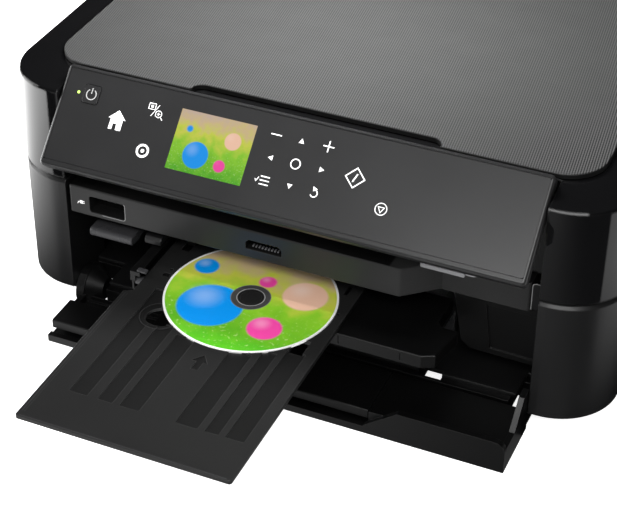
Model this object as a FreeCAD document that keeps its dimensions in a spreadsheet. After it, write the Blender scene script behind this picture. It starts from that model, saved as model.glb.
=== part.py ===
"""Desktop photo printer with a scanner lid, a tilting control panel and a disc caddy.

Frame: +X to the right as seen from the front, +Y to the back, +Z up, in millimetres.
Z = 0 is the surface that the rubber feet stand on.  X = 0 is the middle of the body, and
Y = 0 is half way between the caddy's front edge and the back of the body.
"""
import FreeCAD, Part
import Sketcher
import math
import os

Vector = FreeCAD.Vector
Rotation = FreeCAD.Rotation

doc = FreeCAD.newDocument("disc_label_printer")

# ---------------------------------------------------------------------------------------
# Driving dimensions, in millimetres and degrees
# ---------------------------------------------------------------------------------------
DIMENSIONS = {
    # body
    "body_width": 446, "body_depth": 372, "corner_radius": 44, "wall": 2.8,
    "skirt_level": 16.5, "seam_level": 109.5, "seam_gap": 1.2, "seam_bevel": 3.0,
    "rim_level": 181, "crown_run": 26, "crown_rise": 4.2, "opening_width": 347,
    "column_depth": 44, "scanner_depth": 296, "deck_thickness": 3, "split_gap": 3,
    "pan_level": 3, "pan_inset": 26, "foot_radius": 8,
    # document lid and scanner
    "lid_width": 391, "lid_thickness": 3.6, "lid_setback": 28.5, "lid_depth": 257.5,
    "lid_corner": 28, "lid_notch_width": 178, "lid_notch_depth": 8.7, "lid_notch_shift": 3,
    "lid_gap": 0.4, "pad_gap": 0.4, "lid_axis": 4.5, "lid_pin_radius": 1.5,
    "glass_width": 312, "glass_depth": 226, "glass_thickness": 3, "glass_margin": 4,
    "glass_setback": 48, "glass_level": 182, "bed_floor": 148, "bed_plate": 3,
    "scan_bar_width": 20, "scan_bar_height": 14, "scan_rod_radius": 4,
    # control panel
    "panel_width": 344.6, "panel_length": 72.4, "panel_tilt": 44.4, "panel_thickness": 12,
    "panel_skin": 2.4, "panel_top_setback": 17.5, "panel_top_level": 194.9,
    "panel_pivot_depth": 20.5, "panel_pivot_drop": 15.2, "panel_ear_radius": 6,
    "panel_pin_radius": 3, "recess_setback": 28, "screen_width": 54.9, "screen_height": 41.4,
    "screen_left": -82.1, "screen_drop": 12.8,
    # card slot bar
    "bar_level": 83.4, "bar_height": 22.9, "bar_front_end": 78.7, "bar_step": 21.2,
    "bar_right_end": 162.5, "bar_left_end": -171.4,
    # disc and caddy
    "disc_diameter": 120, "disc_bore": 15, "disc_thickness": 1.2, "disc_shift": -20.8,
    "disc_ahead": 19, "caddy_width": 150, "caddy_length": 268, "caddy_thickness": 3,
    "caddy_level": 66.3, "caddy_shift": -28.9, "caddy_reach": 189.3, "caddy_shoulder": 5.8,
    "pocket_depth": 1.0, "spindle_radius": 7.4,
    # disc guide and its lever
    "guide_left": -108, "guide_right": 106, "guide_end": 119.4, "guide_front": -27.6,
    "guide_thickness": 9.7, "guide_back": 40, "guide_gap": 0.3, "slide_gap": 0.3,
    # front door
    "door_width": 342.6, "door_floor": 16.5, "door_front": -46, "door_lip": 6.0,
    "door_wall_top": 24.5, "door_sheet": 3.0, "door_hinge_setback": 18, "door_hinge_level": 8,
    "ear_radius": 17, "hinge_pin_radius": 3, "clearance": 0.05,
    # print mechanism
    "feed_radius": 6, "feed_shaft_radius": 4, "feed_setback": 195, "exit_setback": 100,
    "roller_gap": 0.4, "plate_span": 200, "plate_sheet": 2, "plate_front": 60,
    "plate_back": 285, "plate_top": 108,
    "gear_module": 1.0, "feed_teeth": 36, "pinion_teeth": 14, "gear_width": 5,
    "carriage_width": 82, "carriage_depth": 58, "carriage_height": 34,
    "rail_setback": 186, "rail_sheet": 2, "pulley_radius": 6, "belt_thickness": 1.2,
    "pulley_span": 186,
    # rear feeder
    "support_width": 262, "support_depth": 58, "support_thickness": 4,
}

sheet = doc.addObject("Spreadsheet::Sheet", "Sizes")
for row, (alias, number) in enumerate(DIMENSIONS.items(), start=1):
    sheet.set("A%d" % row, alias)
    sheet.set("B%d" % row, str(number))
    sheet.setAlias("B%d" % row, alias)
doc.recompute()


class Size:
    """A length or angle that knows its number and the sheet expression behind it."""

    def __init__(self, number, text=None):
        self.number = float(number)
        self.text = repr(float(number)) if text is None else text

    @staticmethod
    def of(value):
        return value if isinstance(value, Size) else Size(value)

    def _join(self, other, sign, number):
        return Size(number, "(%s %s %s)" % (self.text, sign, other.text))

    def __add__(self, other):
        other = Size.of(other)
        return self._join(other, "+", self.number + other.number)

    def __sub__(self, other):
        other = Size.of(other)
        return self._join(other, "-", self.number - other.number)

    def __mul__(self, other):
        other = Size.of(other)
        return self._join(other, "*", self.number * other.number)

    def __truediv__(self, other):
        other = Size.of(other)
        return self._join(other, "/", self.number / other.number)

    def __radd__(self, other):
        return Size.of(other) + self

    def __rsub__(self, other):
        return Size.of(other) - self

    def __rmul__(self, other):
        return Size.of(other) * self

    def __neg__(self):
        return Size(-self.number, "(0 - %s)" % self.text)

    def __float__(self):
        return self.number


class Sheet:
    """Every driving dimension of the sheet as a Size, by its alias."""


S = Sheet()
for alias in DIMENSIONS:
    setattr(S, alias, Size(sheet.get(alias), "Sizes." + alias))


def sin(angle):
    return Size(math.sin(math.radians(angle.number)), "sin(1 deg * %s)" % angle.text)


def cos(angle):
    return Size(math.cos(math.radians(angle.number)), "cos(1 deg * %s)" % angle.text)


def bind(target, prop, size):
    """Set a property from a Size: by its expression where the sheet drives it."""
    size = Size.of(size)
    if "Sizes." in size.text or "." in prop:
        target.setExpression(prop, size.text)
    else:
        setattr(target, prop, size.number)


# ---------------------------------------------------------------------------------------
# Building blocks
# ---------------------------------------------------------------------------------------
NODES = {}
PLANE_ROLE = {"XY": "XY_Plane", "XZ": "XZ_Plane", "YZ": "YZ_Plane"}
PLANE_SIGN = {"XY": 1, "XZ": -1, "YZ": 1}
AXIS_TURN = {"X": Rotation(Vector(0, 1, 0), 90), "Y": Rotation(Vector(1, 0, 0), -90),
             "Z": Rotation()}
counter = {}


def fresh(stem):
    counter[stem] = counter.get(stem, 0) + 1
    return "%s_%d" % (stem, counter[stem])


def place(target, x, y, z):
    bind(target, "Placement.Base.x", x)
    bind(target, "Placement.Base.y", y)
    bind(target, "Placement.Base.z", z)


def box(x0, x1, y0, y1, z0, z1):
    block = doc.addObject("Part::Box", fresh("box"))
    bind(block, "Length", Size.of(x1) - x0)
    bind(block, "Width", Size.of(y1) - y0)
    bind(block, "Height", Size.of(z1) - z0)
    place(block, x0, y0, z0)
    return block


def cylinder(axis, x, y, z, radius, length):
    """A cylinder that starts at (x, y, z) and runs along +axis."""
    rod = doc.addObject("Part::Cylinder", fresh("cylinder"))
    rod.Placement = FreeCAD.Placement(Vector(), AXIS_TURN[axis])
    bind(rod, "Radius", radius)
    bind(rod, "Height", length)
    place(rod, x, y, z)
    return rod


def cone(axis, x, y, z, radius_1, radius_2, length):
    taper = doc.addObject("Part::Cone", fresh("cone"))
    taper.Placement = FreeCAD.Placement(Vector(), AXIS_TURN[axis])
    bind(taper, "Radius1", radius_1)
    bind(taper, "Radius2", radius_2)
    bind(taper, "Height", length)
    place(taper, x, y, z)
    return taper


def fuse(*pieces):
    joined = doc.addObject("Part::MultiFuse", fresh("fuse"))
    joined.Shapes = list(pieces)
    joined.Refine = True
    return joined


def cut(base, *tools):
    trimmed = doc.addObject("Part::Cut", fresh("cut"))
    trimmed.Base = base
    trimmed.Tool = tools[0] if len(tools) == 1 else fuse(*tools)
    trimmed.Refine = True
    return trimmed


def feature(shape):
    """A plain shape, for forms that no sketch or primitive describes."""
    holder = doc.addObject("Part::Feature", fresh("form"))
    holder.Shape = shape
    return holder


def node(name, thing):
    """Register a finished sub-part under the name of its file."""
    thing.Label = name
    NODES[name] = thing
    return thing


class Moulding:
    """A PartDesign body that is drawn plane by plane."""

    def __init__(self, stem):
        self.body = doc.addObject("PartDesign::Body", fresh(stem))

    def _sketch(self, plane, level):
        sketch = self.body.newObject("Sketcher::SketchObject", fresh("sketch"))
        origin = [f for f in self.body.Origin.OriginFeatures if f.Role == PLANE_ROLE[plane]]
        sketch.AttachmentSupport = [(origin[0], "")]
        sketch.MapMode = "FlatFace"
        offset = Size.of(level) * PLANE_SIGN[plane]
        sketch.setExpression("AttachmentOffset.Base.z", offset.text)
        return sketch

    def _outline(self, sketch, points):
        """A closed outline whose corners are held by their distances from the axes."""
        first = sketch.GeometryCount
        count = len(points)
        numbers = [Vector(float(u), float(v), 0) for u, v in points]
        for i in range(count):
            sketch.addGeometry(Part.LineSegment(numbers[i], numbers[(i + 1) % count]), False)
        for i in range(count):
            sketch.addConstraint(
                Sketcher.Constraint("Coincident", first + i, 2, first + (i + 1) % count, 1))
        for i, (u, v) in enumerate(points):
            for kind, value in (("DistanceX", u), ("DistanceY", v)):
                value = Size.of(value)
                index = sketch.addConstraint(
                    Sketcher.Constraint(kind, -1, 1, first + i, 1, value.number))
                if "Sizes." in value.text:
                    sketch.setExpression("Constraints[%d]" % index, value.text)

    def _circle(self, sketch, u, v, radius):
        u, v, radius = Size.of(u), Size.of(v), Size.of(radius)
        ring = sketch.addGeometry(
            Part.Circle(Vector(u.number, v.number, 0), Vector(0, 0, 1), radius.number), False)
        for kind, value in (("DistanceX", u), ("DistanceY", v)):
            index = sketch.addConstraint(Sketcher.Constraint(kind, -1, 1, ring, 3, value.number))
            if "Sizes." in value.text:
                sketch.setExpression("Constraints[%d]" % index, value.text)
        index = sketch.addConstraint(Sketcher.Constraint("Radius", ring, radius.number))
        if "Sizes." in radius.text:
            sketch.setExpression("Constraints[%d]" % index, radius.text)

    def _drawing(self, plane, level, outlines, circles):
        sketch = self._sketch(plane, level)
        for points in outlines:
            self._outline(sketch, points)
        for u, v, radius in circles:
            self._circle(sketch, u, v, radius)
        return sketch

    def pad(self, plane, low, high, outlines=(), circles=()):
        """Add material between two levels of a plane's normal axis."""
        level = high if plane == "XZ" else low
        sketch = self._drawing(plane, level, outlines, circles)
        pad = self.body.newObject("PartDesign::Pad", fresh("pad"))
        pad.Profile = sketch
        bind(pad, "Length", Size.of(high) - low)
        doc.recompute()
        return self

    def pocket(self, plane, low, high, outlines=(), circles=()):
        """Take material away between two levels of a plane's normal axis."""
        level = low if plane == "XZ" else high
        sketch = self._drawing(plane, level, outlines, circles)
        pocket = self.body.newObject("PartDesign::Pocket", fresh("pocket"))
        pocket.Profile = sketch
        bind(pocket, "Length", Size.of(high) - low)
        before = self.body.Shape.Volume
        doc.recompute()
        if self.body.Shape.Volume > before - 1e-3:
            raise RuntimeError("a pocket of %s cuts nothing" % self.body.Name)
        return self

    def _dress(self, kind, prop, size, chosen):
        base = self.body.Tip
        names = ["Edge%d" % (i + 1) for i, edge in enumerate(base.Shape.Edges) if chosen(edge)]
        if not names:
            raise RuntimeError("no edge chosen on " + self.body.Name)
        dress = self.body.newObject("PartDesign::" + kind, fresh(kind.lower()))
        dress.Base = (base, names)
        bind(dress, prop, size)
        self.body.Tip = dress
        doc.recompute()
        return dress

    def fillet(self, radius, chosen):
        self._dress("Fillet", "Radius", radius, chosen)
        return self

    def chamfer(self, size, chosen, second=None):
        dress = self._dress("Chamfer", "Size", size, chosen)
        if second is not None:
            dress.ChamferType = "Two distances"
            bind(dress, "Size2", second)
            doc.recompute()
        return self


def rectangle(x0, x1, y0, y1):
    return [(x0, y0), (x1, y0), (x1, y1), (x0, y1)]


def along(edge, axis):
    """True for a straight edge parallel to an axis."""
    if edge.Curve.TypeId != "Part::GeomLine":
        return False
    ends = [v.Point for v in edge.Vertexes]
    run = ends[1] - ends[0]
    rest = [abs(run.x), abs(run.y), abs(run.z)]
    length = rest.pop("XYZ".index(axis))
    return length > 1e-6 and max(rest) < 1e-6


def middle(edge):
    return edge.BoundBox.Center


def near(value, target, slack=0.05):
    return abs(value - float(target)) < slack


def arc(u, v, radius, start, end, steps=4):
    """Corners along a round stretch, from one angle to another."""
    points = []
    for i in range(steps + 1):
        angle = math.radians(start + (end - start) * i / steps)
        points.append((u + radius * round(math.cos(angle), 6),
                       v + radius * round(math.sin(angle), 6)))
    return points


# ---------------------------------------------------------------------------------------
# Shared places
# ---------------------------------------------------------------------------------------
FRONT = -(S.body_depth - S.caddy_reach) / 2
BACK = FRONT + S.body_depth
HALF = S.body_width / 2
MOUTH = S.opening_width / 2
FLOOR = S.skirt_level + S.deck_thickness
UPPER = S.seam_level + S.seam_gap
DECK = S.rim_level + S.crown_rise
INSIDE = HALF - S.wall
COLUMN_BACK = FRONT + S.column_depth
CROSS_BACK = COLUMN_BACK + S.deck_thickness
CORNER_X = HALF - S.corner_radius
INNER_CORNER = S.corner_radius - S.wall


# ---------------------------------------------------------------------------------------
# Body: lower casing, pan, feet, rear cover
# ---------------------------------------------------------------------------------------
HINGE_Y = FRONT + S.door_hinge_setback
HINGE_Z = S.door_hinge_level
LEVER_Y = FRONT + 34
LEVER_Z = 71


def lower_casing():
    """Tub with two rounded front columns, a cross wall behind the bar and an open mouth."""
    tub = Moulding("lower_casing")
    tub.pad("XY", S.skirt_level, S.seam_level, [rectangle(-HALF, HALF, FRONT, BACK)])
    tub.fillet(S.corner_radius, lambda e: along(e, "Z"))
    tub.chamfer(S.seam_bevel, lambda e: near(middle(e).z, S.seam_level))
    cavity = [(-INSIDE, CROSS_BACK), (INSIDE, CROSS_BACK)]
    cavity += arc(CORNER_X, BACK - S.corner_radius, INNER_CORNER, 0, 90)
    cavity += arc(-CORNER_X, BACK - S.corner_radius, INNER_CORNER, 90, 180)
    tub.pocket("XY", FLOOR, S.seam_level + 1, [cavity])
    for side in (1, -1):
        column = [(side * (MOUTH + S.wall), FRONT + S.corner_radius),
                  (side * (MOUTH + S.wall), FRONT + S.wall)]
        column += [(side * u, v) for u, v in
                   arc(CORNER_X, FRONT + S.corner_radius, INNER_CORNER, -90, 0)]
        tub.pocket("XY", FLOOR, S.seam_level + 1, [column])
    tub.pocket("XZ", FRONT - 1, CROSS_BACK + 1,
               [rectangle(-MOUTH, MOUTH, FLOOR, S.bar_level)])
    tub.pocket("XZ", FRONT - 1, COLUMN_BACK,
               [rectangle(-MOUTH, MOUTH, S.bar_level - 1, S.seam_level + 1)])
    tub.pocket("XY", S.skirt_level - 1, FLOOR + 1,
               [rectangle(-MOUTH, MOUTH, FRONT - 1, FRONT + 12)])
    tub.pocket("XY", S.skirt_level - 1, FLOOR + 1,
               [rectangle(-MOUTH, 23 - MOUTH, FRONT + 11, HINGE_Y + S.ear_radius + 2)])
    tub.pocket("XY", S.skirt_level - 1, FLOOR + 1,
               [rectangle(MOUTH - 12, MOUTH, FRONT + 11, HINGE_Y + S.ear_radius + 2)])
    tub.pocket("XY", S.skirt_level - 1, FLOOR + 1, [rectangle(92, 108.4, FRONT + 11, FRONT + 15)])
    tub.pocket("XZ", BACK - S.wall - 1, BACK + 1,
               [rectangle(-176, -152, 30, 48), rectangle(151.6, 162.4, 26.6, 39)])
    for left, right in ((-158, -153.3), (-118.2, -114)):
        tub.pad("YZ", left, right,
                [[(LEVER_Y - 6, 64), (CROSS_BACK, 64), (CROSS_BACK, S.bar_level + 4),
                  (COLUMN_BACK, S.bar_level + 4), (COLUMN_BACK, S.bar_level - 0.3),
                  (LEVER_Y - 6, S.bar_level - 0.3)]])
    tub.pocket("YZ", -159, -113, circles=[(LEVER_Y, LEVER_Z, 2 + S.clearance)])
    return tub.body


def eye(x, reach, y, z, radius, bore, foot):
    """A plate with a round end and a bore, standing on the block given as its foot."""
    return cut(fuse(cylinder("X", x, y, z, radius, reach), foot),
               cylinder("X", x - 1, y, z, bore, reach + 2))


def hinge_brackets():
    """Door bosses under the columns and, on the rear cover, eyes for the scanner's lift."""
    bore = S.hinge_pin_radius + S.clearance
    front = FRONT + S.scanner_depth + S.split_gap
    eyes = []
    for x in (-MOUTH - 10, MOUTH):
        foot = box(x, x + 10, HINGE_Y - 5, HINGE_Y + 5, HINGE_Z, S.skirt_level)
        eyes.append(eye(x, Size.of(10), HINGE_Y, HINGE_Z, 5, bore, foot))
    lift = S.hinge_pin_radius + 1.9
    for x in (-195, 187):
        foot = box(x, x + 8, LIFT_Y, front, LIFT_Z - lift, LIFT_Z + 2)
        eyes.append(eye(x, Size.of(8), LIFT_Y, LIFT_Z, lift, bore, foot))
    return fuse(*eyes)


def base_pan():
    """Raised pan under the tub, narrower than the skirt, with a tongue below the mouth."""
    low, high = S.pan_level, S.skirt_level
    side = HALF - S.pan_inset
    pan = Moulding("base_pan")
    outline = [(-side, COLUMN_BACK), (-150, COLUMN_BACK), (-150, FRONT + 6.5),
               (158, FRONT + 6.5), (158, COLUMN_BACK), (side, COLUMN_BACK), (side, BACK - S.pan_inset),
               (-side, BACK - S.pan_inset)]
    pan.pad("XY", low, high, [outline])
    pan.pocket("XY", low + S.wall, high + 1,
               [rectangle(-side + S.wall, side - S.wall, COLUMN_BACK + S.wall,
                          BACK - S.pan_inset - S.wall)])
    pan.pocket("XY", low - 1, high + 1, [rectangle(92, 108.4, FRONT + 9, FRONT + 33)])
    return pan.body


def rubber_feet():
    spots = [(x, y) for x in (-172, 172) for y in (COLUMN_BACK + 16, BACK - S.pan_inset - 16)]
    return fuse(*[cylinder("Z", x, y, 0, S.foot_radius, S.pan_level) for x, y in spots])


def rear_cover():
    """Rear part of the upper body: recess of the folded support, paper slot, roller cheeks."""
    front = FRONT + S.scanner_depth + S.split_gap
    shell = Moulding("rear_cover")
    shell.pad("XY", UPPER, DECK, [rectangle(-HALF, HALF, front, BACK)])
    shell.fillet(S.corner_radius, lambda e: along(e, "Z") and near(middle(e).y, BACK))
    shell.chamfer(1.6, lambda e: near(middle(e).z, DECK) and middle(e).y > float(front) + 1)
    shell.pocket("XY", UPPER - 1, DECK - 8,
                 [[(-INSIDE, front + S.wall), (INSIDE, front + S.wall)]
                  + arc(CORNER_X, BACK - S.corner_radius, INNER_CORNER, 0, 90)
                  + arc(-CORNER_X, BACK - S.corner_radius, INNER_CORNER, 90, 180)])
    side = S.support_width / 2 + 0.6
    shell.pocket("XY", DECK - S.support_thickness, DECK + 1,
                 [rectangle(-side, side, SUPPORT_Y - S.support_depth - 0.8, SUPPORT_Y + 2.6)])
    shell.pocket("XY", DECK - 9, DECK - S.support_thickness + 1,
                 [rectangle(-116, 116, SUPPORT_Y - 30, SUPPORT_Y - 6)])
    for side in (-1, 1):
        low, high = sorted((side * 118, side * 124))
        shell.pad("YZ", low, high,
                  [rectangle(PICKUP_Y - 8, PICKUP_Y + 8, PICKUP_Z - 7, DECK - 7)])
        shell.pocket("YZ", low - 1, high + 1, circles=[(PICKUP_Y, PICKUP_Z, 3 + S.clearance)])
        shell.pocket("YZ", *sorted((side * (S.support_width / 2).number,
                                    side * (S.support_width / 2).number + side * 3.6)),
                     circles=[(SUPPORT_Y, SUPPORT_Z, 1 + S.clearance)])
    shell.pad("XZ", PICKUP_Y - 7, PICKUP_Y + 7, [rectangle(-119, 119, GUIDE_SHELF - 3, GUIDE_SHELF)])
    return shell.body


SUPPORT_Y = BACK - 8
SUPPORT_Z = DECK - S.support_thickness / 2 + 0.1
PICKUP_Y = BACK - 28
PICKUP_Z = 130
GUIDE_SHELF = 155
LIFT_Y = FRONT + S.scanner_depth - 6
LIFT_Z = S.rim_level - 2


# ---------------------------------------------------------------------------------------
# Scanner and document lid
# ---------------------------------------------------------------------------------------
RECESS = FRONT + S.recess_setback
GLASS_Y = FRONT + S.glass_setback
LID_LOW = DECK + S.lid_gap
LID_HIGH = LID_LOW + S.lid_thickness
LID_Y = FRONT + S.lid_setback + S.lid_depth + S.lid_axis
LID_Z = DECK + 3.2
PANEL_Y = FRONT + S.panel_top_setback
PIVOT_Y = (PANEL_Y - S.panel_pivot_drop * sin(S.panel_tilt)
           + S.panel_pivot_depth * cos(S.panel_tilt))
PIVOT_Z = (S.panel_top_level - S.panel_pivot_drop * cos(S.panel_tilt)
           - S.panel_pivot_depth * sin(S.panel_tilt))
ROD_Y = GLASS_Y + S.glass_depth / 2
ROD_Z = S.bed_floor + 9


def scanner_housing():
    """Upper body with a sloped crown, a recess for the panel and a bed for the glass."""
    rear = FRONT + S.scanner_depth
    shell = Moulding("scanner_housing")
    shell.pad("XY", UPPER, DECK, [rectangle(-HALF, HALF, FRONT, rear)])
    shell.fillet(S.corner_radius, lambda e: along(e, "Z") and near(middle(e).y, FRONT))
    shell.chamfer(S.crown_rise, lambda e: near(middle(e).z, DECK)
                  and not near(middle(e).y, rear), S.crown_run)
    shell.chamfer(1.2, lambda e: near(middle(e).z, S.rim_level)
                  and not near(middle(e).y, rear))
    shell.pocket("XY", UPPER - 1, DECK + 1, [rectangle(-MOUTH, MOUTH, FRONT - 1, RECESS)])
    side = S.glass_width / 2
    shell.pocket("XY", S.glass_level - S.glass_thickness, DECK + 1,
                 [rectangle(-side, side, GLASS_Y, GLASS_Y + S.glass_depth)])
    shell.pocket("XY", S.bed_floor, S.glass_level,
                 [rectangle(S.glass_margin - side, side - S.glass_margin,
                            GLASS_Y + S.glass_margin,
                            GLASS_Y + S.glass_depth - S.glass_margin)])
    shell.pocket("XY", UPPER - 1, S.bed_floor - S.bed_plate,
                 [rectangle(-INSIDE, INSIDE, RECESS + S.wall + 18, rear - S.wall)])
    for side in (1, -1):
        low = side * (S.glass_width / 2 + 3)
        shell.pocket("XY", UPPER, S.rim_level - 5,
                     [rectangle(low, side * (INSIDE - 1), RECESS + S.wall + 21,
                                LIFT_Y - 14)])
        column = [(side * (MOUTH + S.wall), FRONT + S.corner_radius + 3),
                  (side * (MOUTH + S.wall), FRONT + S.wall)]
        column += [(side * u, v) for u, v in
                   arc(CORNER_X, FRONT + S.corner_radius, INNER_CORNER, -90, 0)]
        column += [(side * INSIDE, FRONT + S.corner_radius + 3)]
        shell.pocket("XY", UPPER - 1, PIVOT_Z - 8, [column])
    lift = S.hinge_pin_radius + 1.9
    for side in (-1, 1):
        low, high = sorted((side * 186, side * 196))
        shell.pocket("XY", LIFT_Z - lift - 0.8, DECK + 1,
                     [rectangle(low, high, LIFT_Y - lift - 0.8, rear + 1)])
        low, high = sorted((side * 181, side * 201))
        shell.pocket("YZ", low, high, circles=[(LIFT_Y, LIFT_Z, S.hinge_pin_radius)])
        low, high = sorted((side * (float(MOUTH) - 1), side * (float(MOUTH) + 8)))
        shell.pocket("YZ", low, high, circles=[(PIVOT_Y, PIVOT_Z, S.panel_pin_radius)])
    ear = S.panel_ear_radius + 0.4
    return cut(shell.body, *[cylinder("X", x, PIVOT_Y, PIVOT_Z, ear, 8.4)
                             for x in (-171.8, 163.4)])


def hinge_pins():
    """Pins of the scanner lift and of the panel."""
    pins = []
    for side in (-1, 1):
        pins.append(cylinder("X", min(side * 181, side * 201), LIFT_Y, LIFT_Z,
                             S.hinge_pin_radius, 20))
        start = float(MOUTH) + 8 if side < 0 else 163
        pins.append(cylinder("X", -start if side < 0 else start, PIVOT_Y, PIVOT_Z,
                             S.panel_pin_radius, float(MOUTH) + 8 - 163))
    return fuse(*pins)


def scanner_glass():
    side = S.glass_width / 2 - 0.2
    return box(-side, side, GLASS_Y + 0.2, GLASS_Y + S.glass_depth - 0.2,
               S.glass_level - S.glass_thickness, S.glass_level)


def scan_rail():
    reach = S.glass_width / 2 - S.glass_margin
    return cylinder("X", -reach, ROD_Y, ROD_Z, S.scan_rod_radius, reach * 2)


def scan_carriage():
    """Long sensor bar with a bearing block on the rod and two end shoes."""
    left = 2 - S.glass_width / 2 + S.glass_margin
    right = left + S.scan_bar_width
    front = GLASS_Y + S.glass_margin + 2
    rear = GLASS_Y + S.glass_depth - S.glass_margin - 2
    top = S.glass_level - S.glass_thickness - 2
    low = top - S.scan_bar_height
    bar = Moulding("scan_carriage")
    bar.pad("XY", low, top, [rectangle(left, right, front, rear)])
    bar.pocket("XY", top - 1, top + 1,
               [rectangle(left + 5, right - 5, front + 4, rear - 4)])
    bar.pad("XY", ROD_Z - 7, low + 1, [rectangle(left, right, ROD_Y - 10, ROD_Y + 10)])
    bar.pocket("YZ", left - 1, right + 1,
               circles=[(ROD_Y, ROD_Z, S.scan_rod_radius + S.clearance)])
    return bar.body


def document_lid():
    """Thin lid with round corners, a finger notch and two knuckles at the back."""
    side = S.lid_width / 2
    front = FRONT + S.lid_setback
    rear = front + S.lid_depth
    lid = Moulding("document_lid")
    lid.pad("XY", LID_LOW, LID_HIGH, [rectangle(-side, side, front, rear)])
    lid.fillet(S.lid_corner, lambda e: along(e, "Z") and near(middle(e).y, front))
    lid.fillet(10, lambda e: along(e, "Z") and near(middle(e).y, rear))
    left = S.lid_notch_shift - S.lid_notch_width / 2
    right = S.lid_notch_shift + S.lid_notch_width / 2
    deep = front + S.lid_notch_depth
    lid.pocket("XY", LID_LOW - 1, LID_HIGH + 1, [rectangle(left, right, front - 1, deep)])
    lid.fillet(8, lambda e: along(e, "Z") and near(middle(e).y, deep))
    lid.chamfer(0.7, lambda e: near(middle(e).z, LID_HIGH))
    for start in (-140, 120):
        lid.pad("YZ", start, start + 20, [rectangle(rear - 2, LID_Y, LID_Z - 2.4, LID_HIGH)])
        lid.pad("YZ", start, start + 20, circles=[(LID_Y, LID_Z, 3)])
        lid.pocket("YZ", start - 1, start + 21,
                   circles=[(LID_Y, LID_Z, S.lid_pin_radius + S.clearance)])
    return lid.body


def lid_hinges():
    """Two forks on the deck, each with its pin."""
    forks = []
    for start in (-140, 120):
        for edge in (start - 8, start + 20.5):
            forks.append(box(edge, edge + 7.5, LID_Y - 3, LID_Y + 3, DECK, LID_Z))
            forks.append(cylinder("X", edge, LID_Y, LID_Z, 3, 7.5))
        forks.append(cylinder("X", start - 8, LID_Y, LID_Z, S.lid_pin_radius, 36))
    return fuse(*forks)


def document_pad():
    side = S.glass_width / 2 - 2
    return box(-side, side, GLASS_Y + 2, GLASS_Y + S.glass_depth - 2,
               S.glass_level + S.pad_gap, LID_LOW)


# ---------------------------------------------------------------------------------------
# Control panel, drawn flat: y up its face from the top edge, z out of the face
# ---------------------------------------------------------------------------------------
def tilted(thing):
    """Lean a flat-drawn piece back to the panel's place."""
    thing.Placement = FreeCAD.Placement(
        Vector(0, float(PANEL_Y), S.panel_top_level.number),
        Rotation(Vector(1, 0, 0), 90 - S.panel_tilt.number))
    thing.setExpression("Placement.Rotation.Angle", "90 - Sizes.panel_tilt")
    bind(thing, "Placement.Base.y", PANEL_Y)
    bind(thing, "Placement.Base.z", S.panel_top_level)
    return thing


PANEL_SIDE = S.panel_width / 2
SEAT = {"side": 2.3, "top": 2.3, "foot": 4.6}
BUTTON = (-155.4, -143.5, -24.3, -11.7)
LED_SPOT = (-159.2, -18.3, 1.4)


def panel_shell():
    """Tray that holds the front plate, with two ears for the pivot pins."""
    side, length = PANEL_SIDE, S.panel_length
    shell = Moulding("panel_shell")
    shell.pad("XY", -S.panel_thickness, 0, [rectangle(-side, side, -length, 0)])
    shell.fillet(3, lambda e: along(e, "Z"))
    shell.fillet(2.2, lambda e: along(e, "X") and near(middle(e).y, -length)
                 and near(middle(e).z, 0))
    shell.chamfer(3, lambda e: along(e, "X") and near(middle(e).z, -S.panel_thickness))
    shell.pocket("XY", -S.panel_skin, 1,
                 [rectangle(SEAT["side"] - side, side - SEAT["side"],
                            SEAT["foot"] - length, -Size.of(SEAT["top"]))])
    shell.pocket("XY", S.panel_skin - S.panel_thickness, -S.panel_skin + 0.5,
                 [rectangle(6 - side, side - 6, 9 - length, -Size.of(7))])
    depth, drop, ear = S.panel_pivot_depth, S.panel_pivot_drop, S.panel_ear_radius
    for low, high in ((-171.2, -164), (164, 171.2)):
        shell.pad("YZ", low, high,
                  [rectangle(-drop - ear, ear - drop, -depth, 0.5 - S.panel_thickness)])
        shell.pad("YZ", low, high, circles=[(-drop, -depth, ear)])
        shell.pocket("YZ", low - 1, high + 1,
                     circles=[(-drop, -depth, S.panel_pin_radius + S.clearance)])
    return tilted(shell.body)


def panel_face():
    """Front plate with openings for the display, the lamp and the button."""
    side, length = PANEL_SIDE - SEAT["side"] - 0.1, S.panel_length
    plate = Moulding("panel_face")
    plate.pad("XY", -S.panel_skin, -0.2,
              [rectangle(-side, side, SEAT["foot"] + 0.1 - length, -Size.of(SEAT["top"] + 0.1))])
    plate.fillet(1.5, lambda e: along(e, "Z"))
    left, drop = S.screen_left, S.screen_drop
    plate.pocket("XY", -S.panel_skin - 1, 1,
                 [rectangle(left - 0.1, left + S.screen_width + 0.1,
                            -drop - S.screen_height - 0.1, 0.1 - drop)])
    x0, x1, y0, y1 = BUTTON
    plate.pocket("XY", -S.panel_skin - 1, 1, [rectangle(x0 - 0.3, x1 + 0.3, y0 - 0.3, y1 + 0.3)])
    plate.fillet(1.8, lambda e: along(e, "Z") and x0 - 1 < middle(e).x < x1 + 1)
    u, v, radius = LED_SPOT
    plate.pocket("XY", -S.panel_skin - 1, 1, circles=[(u, v, radius + 0.1)])
    return tilted(plate.body)


def display_window():
    left, drop = S.screen_left, S.screen_drop
    pane = Moulding("display_window")
    pane.pad("XY", -S.panel_skin, -0.3,
             [rectangle(left, left + S.screen_width, -drop - S.screen_height, -drop)])
    pane.pad("XY", BOARD_TOP, 0.2 - S.panel_skin,
             [rectangle(left + 2, left + S.screen_width - 2,
                        2 - drop - S.screen_height, -drop - 2)])
    return tilted(pane.body)


def status_led():
    u, v, radius = LED_SPOT
    lamp = Moulding("status_led")
    lamp.pad("XY", BOARD_TOP, -0.1, circles=[(u, v, radius)])
    return tilted(lamp.body)


BOARD_TOP = S.panel_skin - S.panel_thickness + 1.6


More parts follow.
